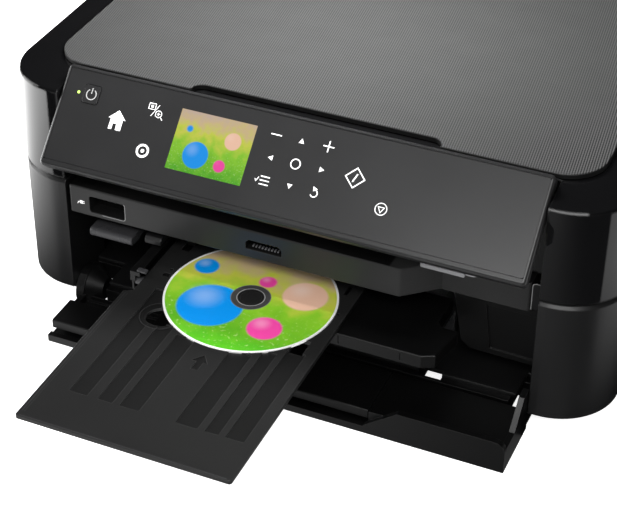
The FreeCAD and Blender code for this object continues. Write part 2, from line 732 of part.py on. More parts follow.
def panel_board():
    """Circuit board on the shell's floor with the push switch."""
    side, length = PANEL_SIDE - 7, S.panel_length
    board = Moulding("panel_board")
    board.pad("XY", BOARD_TOP - 1.6, BOARD_TOP, [rectangle(-side, side, 10 - length, -Size.of(8))])
    x0, x1, y0, y1 = BUTTON
    board.pad("XY", BOARD_TOP - 0.2, BOARD_TOP + 0.7,
              [rectangle(x0 + 3.4, x1 - 3.4, y0 + 3.6, y1 - 3.6)])
    return tilted(board.body)


def power_button():
    """Key with a flange behind the plate and a stem over the switch."""
    x0, x1, y0, y1 = BUTTON
    key = Moulding("power_button")
    key.pad("XY", -S.panel_skin - 1, 0.3, [rectangle(x0, x1, y0, y1)])
    key.fillet(1.6, lambda e: along(e, "Z"))
    key.chamfer(0.4, lambda e: near(middle(e).z, 0.3))
    key.pad("XY", -S.panel_skin - 1.5, -S.panel_skin - 0.3,
            [rectangle(x0 - 1, x1 + 1, y0 - 1, y1 + 1)])
    key.pad("XY", BOARD_TOP + 1.9, -S.panel_skin - 1,
            circles=[((x0 + x1) / 2, (y0 + y1) / 2, 2)])
    return tilted(key.body)


# ---------------------------------------------------------------------------------------
# Card slot bar, release tab and lever
# ---------------------------------------------------------------------------------------
BAR_TOP = S.bar_level + S.bar_height
CADDY_LOW = S.caddy_level - S.caddy_thickness
GUIDE_TOP = CADDY_LOW - S.guide_gap
GUIDE_LOW = GUIDE_TOP - S.guide_thickness
STEP_X = S.bar_front_end + 23
USB = (-155.4, -127.2, 87, 100.5)
SLOT = (-33.9, -6.9, 90.8, 98.5)


def card_slot_bar():
    """Stepped bar with a port recess, a card slot and cheeks for the release tab."""
    face = FRONT + 0.7
    bar = Moulding("card_slot_bar")
    bar.pad("XY", S.bar_level, BAR_TOP,
            [[(S.bar_left_end, face), (S.bar_front_end, face), (STEP_X, face + S.bar_step - 0.7),
              (S.bar_right_end, face + S.bar_step - 0.7), (S.bar_right_end, COLUMN_BACK),
              (S.bar_left_end, COLUMN_BACK)]])
    bar.fillet(4, lambda e: along(e, "Z") and near(middle(e).x, S.bar_front_end))
    bar.fillet(2, lambda e: along(e, "Z") and (near(middle(e).x, S.bar_left_end)
                                              or near(middle(e).x, S.bar_right_end))
               and middle(e).y < float(COLUMN_BACK) - 1)
    bar.fillet(1.2, lambda e: (near(middle(e).z, BAR_TOP) or near(middle(e).z, S.bar_level))
               and middle(e).y < float(COLUMN_BACK) - 25)
    left, right, low, high = USB
    bar.pocket("XZ", face - 1, face + 12, [rectangle(left, right, low, high)])
    bar.fillet(2, lambda e: along(e, "Y") and left - 1 < middle(e).x < right + 1
               and low - 1 < middle(e).z < high + 1)
    bar.pocket("XZ", face + 11, face + 30, [rectangle(-147.9, -134.1, 90.4, 97.2)])
    left, right, low, high = SLOT
    bar.pocket("XZ", face - 1, face + 26,
               [[(left, low), (right, low), (right, high - 2.5), (right - 2.5, high),
                 (left + 2.5, high), (left, high - 2.5)]])
    for low, high in ((96.5, 99.5), (112.5, 115.5)):
        bar.pad("XY", BAR_TOP - 1, BAR_TOP + 4, [rectangle(low, high, FRONT + 24, FRONT + 40)])
    return bar.body


def usb_socket():
    """Metal shell of the port with its tongue, set in the bar."""
    face = FRONT + 0.7
    port = Moulding("usb_socket")
    port.pad("XZ", face + 12.5, face + 30, [rectangle(-147.9, -134.1, 90.4, 97.2)])
    port.pocket("XZ", face + 12, face + 26, [rectangle(-147.1, -134.9, 91.2, 96.4)])
    port.pad("XZ", face + 13.5, face + 27, [rectangle(-146.2, -135.8, 94.0, 95.6)])
    return port.body


def card_reader():
    """Contact comb at the back of the card slot."""
    face = FRONT + 0.7
    left, right, low, high = SLOT
    block = box(left, right, face + 20, face + 26, low, low + 4.6)
    pins = [box(left + 2.2 + 2.9 * i, left + 3.4 + 2.9 * i, face + 9, face + 21,
                low, low + 0.9) for i in range(8)]
    return fuse(block, *pins)


def release_lever():
    """Broad tab over the bar with a flat stem between two cheeks."""
    tab = Moulding("release_lever")
    low = BAR_TOP + S.slide_gap
    tab.pad("XY", low + 4.4, low + 7.8,
            [[(91, FRONT + 3), (122, FRONT + 3), (122, FRONT + 6), (129, FRONT + 6),
              (129, FRONT + 15), (91, FRONT + 15)]])
    tab.fillet(2, lambda e: along(e, "Z") and middle(e).y < float(FRONT) + 7
               and not near(middle(e).x, 122, 1))
    tab.chamfer(0.7, lambda e: near(middle(e).z, low + 7.8) and middle(e).y < float(FRONT) + 14)
    tab.pad("XY", low, low + 5, [rectangle(100, 112, FRONT + 11, FRONT + 15)])
    tab.pad("XY", low, low + 3.6, [rectangle(100, 112, FRONT + 11, FRONT + 38)])
    return tab.body


def guide_lever():
    """Flat finger lever with trunnions in the casing's lugs."""
    lever = Moulding("guide_lever")
    lever.pad("XY", 67.5, 74.5, [rectangle(-155.5, -122, FRONT - 1, FRONT + 12)])
    lever.fillet(2.4, lambda e: middle(e).y < float(FRONT) + 0.5 and along(e, "X"))
    lever.pad("XY", 68.5, 73.5, [rectangle(-151, -122, FRONT + 11, LEVER_Y + 1)])
    lever.pad("YZ", -152.8, -118.7, circles=[(LEVER_Y, LEVER_Z, 4)])
    lever.pad("YZ", -158, -114, circles=[(LEVER_Y, LEVER_Z, 2)])
    return lever.body


def waste_pad_cover():
    """Inner wall block at the right, screwed to the column, with a sunk field."""
    cover = Moulding("waste_pad_cover")
    cover.pad("XZ", FRONT + 27, COLUMN_BACK,
              [[(108.3, 82.5), (115.3, 41.5), (121.8, 36), (170, 35), (170, 82.5)]])
    cover.pocket("XZ", FRONT + 26, FRONT + 28.4,
                 [[(131.5, 75.5), (136, 40), (167, 39), (167, 75.5)]])
    cover.pocket("XZ", FRONT + 30, COLUMN_BACK + 1, [rectangle(120, 167, 42, 80)])
    cover.pad("YZ", 169, MOUTH, [rectangle(FRONT + 29, COLUMN_BACK - 1, 46, 76)])
    return cover.body


# ---------------------------------------------------------------------------------------
# Disc guide, caddy and disc
# ---------------------------------------------------------------------------------------
GUIDE_Y = FRONT + S.guide_front
DISC_Y = FRONT - S.disc_ahead
CADDY_FRONT = FRONT - S.caddy_reach
CADDY_LEFT = S.caddy_shift - S.caddy_width / 2
CADDY_RIGHT = S.caddy_shift + S.caddy_width / 2
ROLLER_SPOT = (-102.2, 59.6)


def disc_guide():
    """Platform with a tapered right end and a channel rail along its left side."""
    back = FRONT + S.guide_back
    left = S.guide_left
    plate = Moulding("disc_guide")
    plate.pad("XY", GUIDE_LOW, GUIDE_TOP,
              [[(left, GUIDE_Y), (S.guide_right, GUIDE_Y), (S.guide_end - 4.9, GUIDE_Y + 4.3),
                (S.guide_end, FRONT + 5), (S.guide_end, FRONT + 8), (107, FRONT + 8),
                (104, FRONT + 11), (104, back), (left, back)]])
    plate.fillet(1.5, lambda e: near(middle(e).z, GUIDE_TOP) and middle(e).x > 110
                 or near(middle(e).z, GUIDE_TOP) and near(middle(e).y, GUIDE_Y))
    plate.pad("XY", GUIDE_TOP - 1, GUIDE_TOP + 7,
              [rectangle(left, CADDY_LEFT - S.slide_gap - 0.1, GUIDE_Y - 2, back)])
    plate.pad("XY", S.caddy_level + 0.5, GUIDE_TOP + 7,
              [rectangle(left + 1, CADDY_LEFT + 3.4, GUIDE_Y - 2, back)])
    plate.pocket("XY", GUIDE_LOW - 1, GUIDE_LOW + 6.5,
                 [rectangle(left + 14, -2, FRONT - 18, back - 8),
                  rectangle(2, 84, FRONT - 18, back - 8)])
    plate.pocket("XZ", GUIDE_Y - 1, GUIDE_Y + 0.8,
                 [rectangle(47, 48, GUIDE_LOW + 1.5, GUIDE_TOP - 1.5),
                  rectangle(91, 92, GUIDE_LOW + 1.5, GUIDE_TOP - 1.5)])
    x, z = ROLLER_SPOT
    plate.pocket("XY", GUIDE_LOW - 1, GUIDE_TOP + 1,
                 [rectangle(x - 4.4, x + 4.4, GUIDE_Y - 0.5, GUIDE_Y + 7.5)])
    return plate.body


def guide_clip():
    """Small hook on the rail's lip that holds the caddy's edge down."""
    hook = Moulding("guide_clip")
    low = GUIDE_TOP + 7
    hook.pad("XY", low, low + 1.4, [rectangle(S.guide_left + 5, CADDY_LEFT + 8.4,
                                             GUIDE_Y - 1.4, GUIDE_Y + 2.4)])
    hook.fillet(1, lambda e: along(e, "Z") and middle(e).x > float(CADDY_LEFT) + 8)
    return hook.body


def guide_roller():
    """Little roller on an axle across the rail's front gap."""
    x, z = ROLLER_SPOT
    y = GUIDE_Y + 3.4
    return fuse(cylinder("X", x - 3.6, y, z, 3.3, 7.2),
                cylinder("X", x - 4.3, y, z, 1, 8.6))


def disc_caddy():
    """Thin tray: shoulder at the left, round seat, channels, finger hole, slots, arrow."""
    x, y = S.disc_shift, DISC_Y
    left, right = CADDY_LEFT, CADDY_RIGHT
    rear = CADDY_FRONT + S.caddy_length
    tray = Moulding("disc_caddy")
    tray.pad("XY", CADDY_LOW, S.caddy_level,
             [[(left, CADDY_FRONT), (right, CADDY_FRONT), (right, rear),
               (left + S.caddy_shoulder, rear), (left + S.caddy_shoulder, y - 25),
               (left, y - 28)]])
    tray.fillet(2, lambda e: along(e, "Z") and (near(middle(e).y, CADDY_FRONT)
                                               or near(middle(e).y, rear)))
    tray.chamfer(0.4, lambda e: near(middle(e).z, S.caddy_level))
    channels = [(-63.6, -50.5, -17), (-43.3, -32.6, -50), (-27.5, -13.6, -57),
                (11.9, 27.4, -57), (32.3, 41.8, -49), (46.3, 59.2, -42)]
    tray.pocket("XY", S.caddy_level - S.pocket_depth, S.caddy_level + 1,
                [rectangle(x + a, x + b, y - 136, y + c) for a, b, c in channels])
    tray.pocket("XY", S.caddy_level - S.pocket_depth, S.caddy_level + 1,
                [[(x - 0.7, y - 69), (x - 6.5, y - 76.5), (x - 3.2, y - 76.5), (x - 3.2, y - 85),
                  (x + 1.8, y - 85), (x + 1.8, y - 76.5), (x + 5, y - 76.5)]])
    tray.pocket("XY", S.caddy_level - 0.4, S.caddy_level + 1, circles=[(x - 46.5, y - 43.8, 13.5)])
    tray.pocket("XY", S.caddy_level - S.pocket_depth, S.caddy_level + 1,
                circles=[(x, y, S.disc_diameter / 2 + 0.5)])
    tray.pad("XY", S.caddy_level - S.pocket_depth - 0.4, S.caddy_level + 0.1,
             circles=[(x, y, S.spindle_radius)])
    tray.pocket("XY", CADDY_LOW - 1, S.caddy_level + 1,
                [rectangle(x + 47, x + 57, y - 43, y - 28), rectangle(x - 69, x - 62.5, y + 31, y + 42),
                 rectangle(x + 56, x + 59, y + 29, y + 42), rectangle(x - 67, x - 62, y - 2, y + 2)],
                [(x - 46.5, y - 43.8, 10), (x + 61.5, y + 6.8, 1.2), (x - 63.9, y + 6.7, 1.2)])
    return tray.body


def disc():
    """Optical disc lying in its seat, free on the spindle."""
    plate = Moulding("disc")
    low = S.caddy_level - S.pocket_depth
    plate.pad("XY", low, low + S.disc_thickness, circles=[(S.disc_shift, DISC_Y, S.disc_diameter / 2)])
    plate.pocket("XY", low - 1, low + 2, circles=[(S.disc_shift, DISC_Y, S.disc_bore / 2)])
    return plate.body


# ---------------------------------------------------------------------------------------
# Front door and stacker tray
# ---------------------------------------------------------------------------------------
def front_door():
    """Door folded down: sheet, stepped front wall, right block and wall, round ear."""
    left, right = 1.7 - S.door_width / 2, S.door_width / 2 + 1.7
    face = FRONT + S.door_front
    back = FRONT + 3
    door = Moulding("front_door")
    door.pad("XY", 0.5, S.door_sheet + 0.5, [rectangle(left, right, face, back)])
    door.pad("XZ", face, face + 4.6,
             [[(left, 0.5), (right, 0.5), (right, S.door_wall_top), (97.6, S.door_wall_top),
               (76, 8.4), (73.5, S.door_lip), (left, S.door_lip)]])
    door.fillet(8, lambda e: along(e, "Y") and near(middle(e).x, right)
                and near(middle(e).z, S.door_wall_top))
    door.pad("XY", S.door_sheet, S.door_floor, [rectangle(76.2, right, face + 4, back)])
    door.pad("YZ", right - 4, right,
             [[(face + 4, 4), (back, 4), (HINGE_Y + 3, HINGE_Z - 4), (HINGE_Y + 4, HINGE_Z + 4),
               (FRONT + 6, 26), (FRONT + 1, 36), (FRONT - 9, 36), (FRONT - 26, 19),
               (face + 4, 19)]])
    ear = arc(HINGE_Y, HINGE_Z, S.ear_radius, 0, 180, 12)
    ear += [(HINGE_Y - 15.3, 0.6), (HINGE_Y, 0.6)] + arc(HINGE_Y, HINGE_Z, 7.4, 280, 350, 3)
    door.pad("YZ", S.slide_gap - MOUTH, 6.5 - MOUTH, [ear])
    door.pad("XY", S.door_sheet, 9.5, [rectangle(left, left + 4, face + 20, back),
                                      rectangle(-60, -57, face + 24, back),
                                      rectangle(20, 23, face + 24, back)])
    door.pad("YZ", left - 7, left + 1, circles=[(HINGE_Y, HINGE_Z, S.hinge_pin_radius)])
    door.pad("YZ", right - 1, right + 7, circles=[(HINGE_Y, HINGE_Z, S.hinge_pin_radius)])
    collar = cone("X", 6 - MOUTH, HINGE_Y, HINGE_Z, S.ear_radius - 1, 8, 11.5)
    below = box(5 - MOUTH, 20 - MOUTH, HINGE_Y - 20, HINGE_Y + 20, -12, 0.6)
    behind = box(5 - MOUTH, 20 - MOUTH, HINGE_Y, HINGE_Y + 20, -12, HINGE_Z)
    return fuse(door.body, cut(collar, below, behind))


def stacker_tray():
    """Sliding paper tray that lies on the door's ribs."""
    low = 9.5 + S.slide_gap
    tray = Moulding("stacker_tray")
    tray.pad("XY", low, S.door_floor,
             [[(-168, FRONT - 41), (75.2, FRONT - 41), (75.2, FRONT + 3), (-100, FRONT + 3),
               (-100, FRONT - 15), (-168, FRONT - 15)]])
    tray.fillet(1.2, lambda e: near(middle(e).z, S.door_floor) and near(middle(e).y, FRONT - 41))
    tray.pocket("XY", low - 1, S.door_floor - 2.4,
                [rectangle(-164, -104, FRONT - 38, FRONT - 18),
                 rectangle(-96, -64, FRONT - 38, FRONT), rectangle(-53, 16, FRONT - 38, FRONT),
                 rectangle(27, 72, FRONT - 38, FRONT)])
    return tray.body


# ---------------------------------------------------------------------------------------
# Print mechanism
# ---------------------------------------------------------------------------------------
FEED_Y = FRONT + S.feed_setback
EXIT_Y = FRONT + S.exit_setback
FEED_Z = CADDY_LOW - S.roller_gap - S.feed_radius
PLATE_Y = FRONT + S.plate_front
PLATE_END = FRONT + S.plate_back
SPAN = S.plate_span
OUTER = S.plate_span + S.plate_sheet
RAIL_Y = FRONT + S.rail_setback
GEAR_X = OUTER + 5
AXLE_GAP = S.gear_module * (S.feed_teeth + S.pinion_teeth) / 2
MOTOR_Y = FEED_Y + AXLE_GAP * 0.8
MOTOR_Z = FEED_Z - AXLE_GAP * 0.6
STAR_Z = S.caddy_level + 8.5
STAR_POINTS = 10
BELT_Z = 92
PULLEY_Y = RAIL_Y - 7.5


def chassis_frame():
    """Two side plates, a front cross beam and two arms under the disc guide."""
    frame = Moulding("chassis_frame")
    frame.pad("YZ", -OUTER, -SPAN, [rectangle(PLATE_Y, PLATE_END, FLOOR, S.plate_top)])
    frame.pad("XY", FLOOR, FLOOR + 30, [rectangle(-SPAN - 1, SPAN + 1, FRONT + 84, FRONT + 88)])
    frame.pad("YZ", SPAN, OUTER, [rectangle(PLATE_Y, PLATE_END, FLOOR, S.plate_top)])
    for low, high in ((-106, -97), (94, 103)):
        frame.pad("XY", GUIDE_LOW - 7, GUIDE_LOW - S.slide_gap,
                  [rectangle(low, high, FRONT + 12, FRONT + 88)])
        frame.pad("XY", FLOOR + 29, GUIDE_LOW - 6, [rectangle(low, high, FRONT + 84, FRONT + 88)])
        frame.pad("XY", FLOOR, GUIDE_LOW - 6, [rectangle(low, high, FRONT + 50, FRONT + 54)])
    bore = S.feed_shaft_radius + S.clearance
    frame.pocket("YZ", -OUTER - 1, OUTER + 1,
                 circles=[(FEED_Y, FEED_Z, bore), (EXIT_Y, FEED_Z, bore),
                          (EXIT_Y, STAR_Z, 2 + S.clearance)])
    frame.pocket("YZ", -OUTER - 1, -SPAN + 1, circles=[(MOTOR_Y, MOTOR_Z, 3)])
    return frame.body


def carriage_rail():
    """Upright plate with a ledge for the carriage's shoe."""
    rail = Moulding("carriage_rail")
    rail.pad("XY", 72, S.plate_top, [rectangle(-SPAN, SPAN, RAIL_Y, RAIL_Y + S.rail_sheet)])
    rail.pad("XY", 72, 74, [rectangle(-SPAN, SPAN, RAIL_Y - 8, RAIL_Y + 1)])
    rail.pocket("XZ", RAIL_Y - 1, RAIL_Y + S.rail_sheet + 1,
                circles=[(-S.pulley_span, BELT_Z, 2 + S.clearance),
                         (S.pulley_span, BELT_Z, 2 + S.clearance)])
    return rail.body


def platen():
    """Ribbed bed under the print path on two legs."""
    bed = Moulding("platen")
    bed.pad("XY", 50, GUIDE_TOP - 3, [rectangle(-150, 104, EXIT_Y + 12, FEED_Y - 11)])
    bed.pad("XY", GUIDE_TOP - 4, GUIDE_TOP,
            [rectangle(u, u + 3, EXIT_Y + 14, FEED_Y - 13) for u in range(-140, 100, 24)])
    bed.pad("XY", FLOOR, 51, [rectangle(-150, -140, EXIT_Y + 12, FEED_Y - 11),
                              rectangle(94, 104, EXIT_Y + 12, FEED_Y - 11)])
    return bed.body


def cap_station():
    """Parking block under the print head with a soft rim and a wiper."""
    base = Moulding("cap_station")
    top = HEAD_LOW - S.slide_gap
    base.pad("XY", FLOOR, top - 4, [rectangle(110, 182, FRONT + 124, FRONT + 174)])
    base.pad("XY", top - 5, top, [rectangle(116, 170, FRONT + 134, FRONT + 166)])
    base.pocket("XY", top - 2, top + 1, [rectangle(119, 167, FRONT + 137, FRONT + 163)])
    return base.body


HEAD_LOW = 67.5
CARRIAGE_LEFT = 102
CARRIAGE_LOW = 70


def carriage():
    """Open box for the cartridges with a rear shoe on the rail's ledge."""
    right = CARRIAGE_LEFT + S.carriage_width
    back = RAIL_Y - 9
    front = back - S.carriage_depth + 1
    top = CARRIAGE_LOW + S.carriage_height
    box_body = Moulding("carriage")
    box_body.pad("XY", CARRIAGE_LOW, top, [rectangle(CARRIAGE_LEFT, right, front, back)])
    box_body.fillet(3, lambda e: along(e, "Z") and near(middle(e).y, front))
    box_body.pocket("XY", CARRIAGE_LOW + 3, top + 1,
                    [rectangle(CARRIAGE_LEFT + 2, right - 2, front + 2.4, back - 2.4)])
    box_body.pocket("XZ", front - 1, front + 3,
                    [rectangle(CARRIAGE_LEFT + 10, right - 10, top - 12, top + 1)])
    box_body.pad("XY", 74 + S.slide_gap, 80,
                 [rectangle(CARRIAGE_LEFT + 4, right - 4, back - 1, RAIL_Y - S.slide_gap)])
    run = BELT_Z - S.pulley_radius - S.clearance - S.belt_thickness / 2
    box_body.pad("XY", run - 3, run + 3, [rectangle(136, 150, back - 1, PULLEY_Y + 6)])
    grip = S.belt_thickness / 2 + S.slide_gap
    box_body.pocket("XZ", PULLEY_Y + 0.6, PULLEY_Y + 7, [rectangle(135, 151, run - grip, run + grip)])
    return box_body.body


def print_head():
    return box(CARRIAGE_LEFT + 12, CARRIAGE_LEFT + 70, RAIL_Y - 52, RAIL_Y - 22,
               HEAD_LOW, CARRIAGE_LOW)


def ink_cartridges():
    """Six slim tanks side by side."""
    back = RAIL_Y - 12
    tanks = []
    for i in range(6):
        left = CARRIAGE_LEFT + 2.9 + 12.8 * i
        tanks.append(fuse(box(left, left + 11.6, back - 50, back, CARRIAGE_LOW + 3, 100),
                          box(left + 1.5, left + 10.1, back - 42, back - 10, 99, 103)))
    return fuse(*tanks)


def loop(plane, a0, a1, b, low, high, inner, thick):
    """A flat belt round two pulleys whose axes lie at a0 and a1."""
    outer = inner + thick
    belt = Moulding("belt")
    belt.pad(plane, low, high, [rectangle(a0, a1, b - outer, b + outer)])
    belt.pad(plane, low, high, circles=[(a0, b, outer)])
    belt.pad(plane, low, high, circles=[(a1, b, outer)])
    belt.pocket(plane, Size.of(low) - 1, Size.of(high) + 1, [rectangle(a0, a1, b - inner, b + inner)])
    belt.pocket(plane, Size.of(low) - 1, Size.of(high) + 1, circles=[(a0, b, inner)])
    belt.pocket(plane, Size.of(low) - 1, Size.of(high) + 1, circles=[(a1, b, inner)])
    return belt.body


def drive_belt():
    return loop("XZ", -S.pulley_span, S.pulley_span, BELT_Z, PULLEY_Y + 1, PULLEY_Y + 6,
                S.pulley_radius + S.clearance, S.belt_thickness)


def exit_belt():
    return loop("YZ", EXIT_Y, FEED_Y, FEED_Z, OUTER + 3.5, OUTER + 7.5,
                8 + S.clearance, S.belt_thickness)


def pulley(x, reach):
    """A flanged pulley with its shaft running back through the rail."""
    y = PULLEY_Y
    return fuse(cylinder("Y", x, y + 0.6, BELT_Z, S.pulley_radius, 6.2),
                cylinder("Y", x, y + 6, BELT_Z, 2, reach))


def drive_pulley():
    return pulley(-S.pulley_span, 14)


def idler_pulley():
    return pulley(S.pulley_span, 8)


def carriage_motor():
    """Motor can behind the rail with a bore for the pulley's shaft."""
    start = RAIL_Y + S.rail_sheet
    x = 0 - S.pulley_span
    can = fuse(cylinder("Y", x, start, BELT_Z, 13.5, 34), cylinder("Y", x, start + 33, BELT_Z, 5, 3))
    return cut(can, cylinder("Y", x, start - 1, BELT_Z, 2 + S.clearance, 12))


def encoder_strip():
    return box(-SPAN, SPAN, EXIT_Y + 14.5, EXIT_Y + 15.1, 88, 96)


def gear(x, y, z, teeth, width, turn=0.0):
    """A spur gear in the YZ plane with a tooth at the turn; small backlash on the flanks."""
    module = S.gear_module.number
    pitch = module * teeth / 2
    points = []
    for i in range(teeth):
        for radius, offset in ((pitch - 1.2 * module, -0.33), (pitch + 0.9 * module, -0.1),
                               (pitch + 0.9 * module, 0.1), (pitch - 1.2 * module, 0.33)):
            angle = turn + 2 * math.pi * (i + offset) / teeth
            points.append(Vector(float(x), float(y) + radius * math.cos(angle),
                                 float(z) + radius * math.sin(angle)))
    face = Part.Face(Part.makePolygon(points + points[:1]))
    return feature(face.extrude(Vector(float(width), 0, 0)))


def feed_roller():
    """Long coated roller on a shaft through both side plates."""
    return fuse(cylinder("X", -145, FEED_Y, FEED_Z, S.feed_radius, 245),
                cylinder("X", -OUTER - 11, FEED_Y, FEED_Z, S.feed_shaft_radius,
                         OUTER * 2 + 19.5))


def belt_wheel(y):
    """Wheel of the roller belt, on the right end of a roller's shaft."""
    return cut(cylinder("X", OUTER + 3, y, FEED_Z, 8, 5),
               cylinder("X", OUTER + 2, y, FEED_Z, S.feed_shaft_radius, 7))


def feed_pulley():
    return belt_wheel(FEED_Y)


def exit_pulley():
    return belt_wheel(EXIT_Y)


def feed_gear():
    wheel = gear(-GEAR_X - S.gear_width, FEED_Y, FEED_Z, int(S.feed_teeth.number), S.gear_width)
    return cut(wheel, cylinder("X", -GEAR_X - S.gear_width - 1, FEED_Y, FEED_Z,
                               S.feed_shaft_radius, S.gear_width + 2))


def feed_motor():
    """Motor inside the left plate, its mouth open for the pinion's shaft."""
    can = cylinder("X", -SPAN, MOTOR_Y, MOTOR_Z, 13, 32)
    nose = cylinder("X", -OUTER, MOTOR_Y, MOTOR_Z, 3, 3)
    return cut(fuse(can, nose), cylinder("X", -OUTER - 1, MOTOR_Y, MOTOR_Z,
                                         1.5 + S.clearance, 14))


def mesh_turn(dy, dz, teeth, others, module):
    """Angle of a tooth of the driven wheel that falls in a gap of the wheel at (0, 0)."""
    line = math.atan2(dz, dy)
    step = 2 * math.pi / teeth
    ahead = (round(line / step) * step - line) * module * teeth / 2
    return line + math.pi - (ahead + math.pi * module / 2) / (module * others / 2)


def feed_pinion():
    """Small wheel on the motor's shaft, in mesh with the feed gear."""
    teeth = int(S.pinion_teeth.number)
    turn = mesh_turn(float(MOTOR_Y - FEED_Y), float(MOTOR_Z - FEED_Z), S.feed_teeth.number,
                     teeth, S.gear_module.number)
    wheel = gear(-GEAR_X - S.gear_width, MOTOR_Y, MOTOR_Z, teeth, S.gear_width, turn)
    return fuse(wheel, cylinder("X", -GEAR_X - 1, MOTOR_Y, MOTOR_Z, 1.5, 14))


def exit_roller():
    """Shaft with three soft sleeves that carries sheets and the caddy out."""
    shaft = cylinder("X", -OUTER - 3, EXIT_Y, FEED_Z, S.feed_shaft_radius, OUTER * 2 + 11.5)
    sleeves = [cylinder("X", u, EXIT_Y, FEED_Z, S.feed_radius, 40) for u in (-140, -40, 60)]
    return fuse(shaft, *sleeves)


def star_wheels():
    """Thin toothed wheels on a shaft over the way out."""
    shaft = cylinder("X", -OUTER - 1, EXIT_Y, STAR_Z, 2, OUTER * 2 + 2)
    points = []
    for i in range(STAR_POINTS * 2):
        radius = 6 if i % 2 == 0 else 4.6
        angle = math.pi * i / STAR_POINTS
        points.append((radius * math.cos(angle), radius * math.sin(angle)))
    wheels = []
    for u in (-120, -20, 80):
        corners = [Vector(u, float(EXIT_Y) + a, float(STAR_Z) + b) for a, b in points]
        wheels.append(feature(Part.Face(Part.makePolygon(corners + corners[:1]))
                              .extrude(Vector(1.6, 0, 0))))
    return fuse(shaft, *wheels)


def pickup_roller():
    return fuse(cylinder("X", -22, PICKUP_Y, PICKUP_Z, 12, 44),
                cylinder("X", -124, PICKUP_Y, PICKUP_Z, 3, 248))


def paper_support():
    """Folded support that closes the paper slot, turning on two small pins."""
    side = S.support_width / 2
    leaf = Moulding("paper_support")
    low = DECK - S.support_thickness + 0.2
    leaf.pad("XY", low, DECK, [rectangle(-side, side, SUPPORT_Y - S.support_depth, SUPPORT_Y)])
    leaf.fillet(3, lambda e: along(e, "Z") and middle(e).y < float(SUPPORT_Y) - 10)
    leaf.pad("YZ", -side, side, circles=[(SUPPORT_Y, SUPPORT_Z, (S.support_thickness - 0.2) / 2)])
    leaf.pad("YZ", -side - 3, side + 3, circles=[(SUPPORT_Y, SUPPORT_Z, 1)])
    leaf.pocket("XY", DECK - 0.8, DECK + 1, [rectangle(-20, 20, SUPPORT_Y - S.support_depth - 1,
                                                      SUPPORT_Y - S.support_depth + 8)])
    return leaf.body


def edge_guide():
    """Sliding side fence on the shelf under the paper slot."""
    fence = Moulding("edge_guide")
    low = GUIDE_SHELF + S.slide_gap
    fence.pad("XY", low, low + 3, [rectangle(84, 104, PICKUP_Y - 6, PICKUP_Y + 6)])
    fence.pad("XY", low + 2, DECK - S.support_thickness - 1.5,
              [rectangle(100, 104, PICKUP_Y - 6, PICKUP_Y + 6)])
    return fence.body


def main_board():
    """Circuit board on four posts with a few packages and two rear ports."""
    y = BACK - 66
    board = box(56, 190, y, BACK - 12, FLOOR + 5, FLOOR + 6.6)
    posts = [cylinder("Z", u, v, FLOOR, 3, 5.5) for u in (64, 182) for v in (y + 8, BACK - 22)]
    chips = [box(90, 112, y + 14, y + 36, FLOOR + 6, FLOOR + 9),
             box(126, 146, y + 16, y + 30, FLOOR + 6, FLOOR + 8.4)]
    port = cut(box(152, 162, BACK - 20, BACK - 0.6, FLOOR + 7.4, FLOOR + 19.2),
               box(153, 161, BACK - 9, BACK, FLOOR + 8.6, FLOOR + 17.4))
    foot = box(153, 161, BACK - 19, BACK - 13, FLOOR + 6, FLOOR + 8)
    return fuse(board, port, foot, *posts, *chips)


def power_supply():
    """Closed converter box beside the mains inlet."""
    return box(-145, -60, BACK - 78, BACK - 14, FLOOR, FLOOR + 36)


def mains_inlet():
    """Two-pole inlet set in the rear wall."""
    socket = Moulding("mains_inlet")
    socket.pad("XZ", BACK - 22, BACK - 0.6, [rectangle(-175.8, -152.2, 30.2, 47.8)])
    socket.fillet(3, lambda e: along(e, "Y") and middle(e).z > 40)
    socket.pocket("XZ", BACK - 12, BACK, [rectangle(-171.5, -156.5, 34.5, 43.5)])
    socket.fillet(3.5, lambda e: along(e, "Y") and 34 < middle(e).z < 44)
    socket.pad("XZ", BACK - 13, BACK - 3, circles=[(-167.5, 39, 1.2), (-160.5, 39, 1.2)])
    socket.pad("XZ", BACK - 60, BACK - 20, [rectangle(-175.8, -152.2, FLOOR, 34)])
    return socket.body


# ---------------------------------------------------------------------------------------
# Build, check and write every sub-part
# ---------------------------------------------------------------------------------------
for build in (lower_casing, hinge_brackets, base_pan, rubber_feet, rear_cover,
              scanner_housing, hinge_pins, scanner_glass, scan_rail, scan_carriage,
              document_lid, lid_hinges, document_pad, panel_shell, panel_face,
              display_window, status_led, panel_board, power_button, card_slot_bar,
              usb_socket, card_reader, release_lever, guide_lever, waste_pad_cover,
              disc_guide, guide_clip, guide_roller, disc_caddy, disc, front_door,
              stacker_tray, chassis_frame, carriage_rail, platen, cap_station, carriage,
              print_head, ink_cartridges, drive_belt, exit_belt, drive_pulley,
              idler_pulley, carriage_motor, encoder_strip, feed_roller, feed_pulley,
              feed_gear, feed_motor, feed_pinion, exit_roller, exit_pulley, star_wheels,
              pickup_roller, paper_support, edge_guide, main_board, power_supply,
              mains_inlet):
    node(build.__name__, build())
doc.recompute()

for item in doc.Objects:
    if "Invalid" in item.State or "Error" in item.State:
        raise RuntimeError("%s failed: %s" % (item.Label, item.State))
os.makedirs("parts", exist_ok=True)
for name, item in NODES.items():
    if item.Shape.isNull() or not item.Shape.isValid() or item.Shape.Volume < 1e-6:
        raise RuntimeError("%s has no sound shape" % name)
for name, item in NODES.items():
    item.Shape.exportStep("parts/%s.step" % name)
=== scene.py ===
"""Looks of the disc label printer: materials, marks, printed faces, light and camera.

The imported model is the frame.  +X is right as seen from the front, +Y is back, +Z is up,
in metres.
"""
import math

import bmesh
import bpy
from mathutils import Matrix, Vector


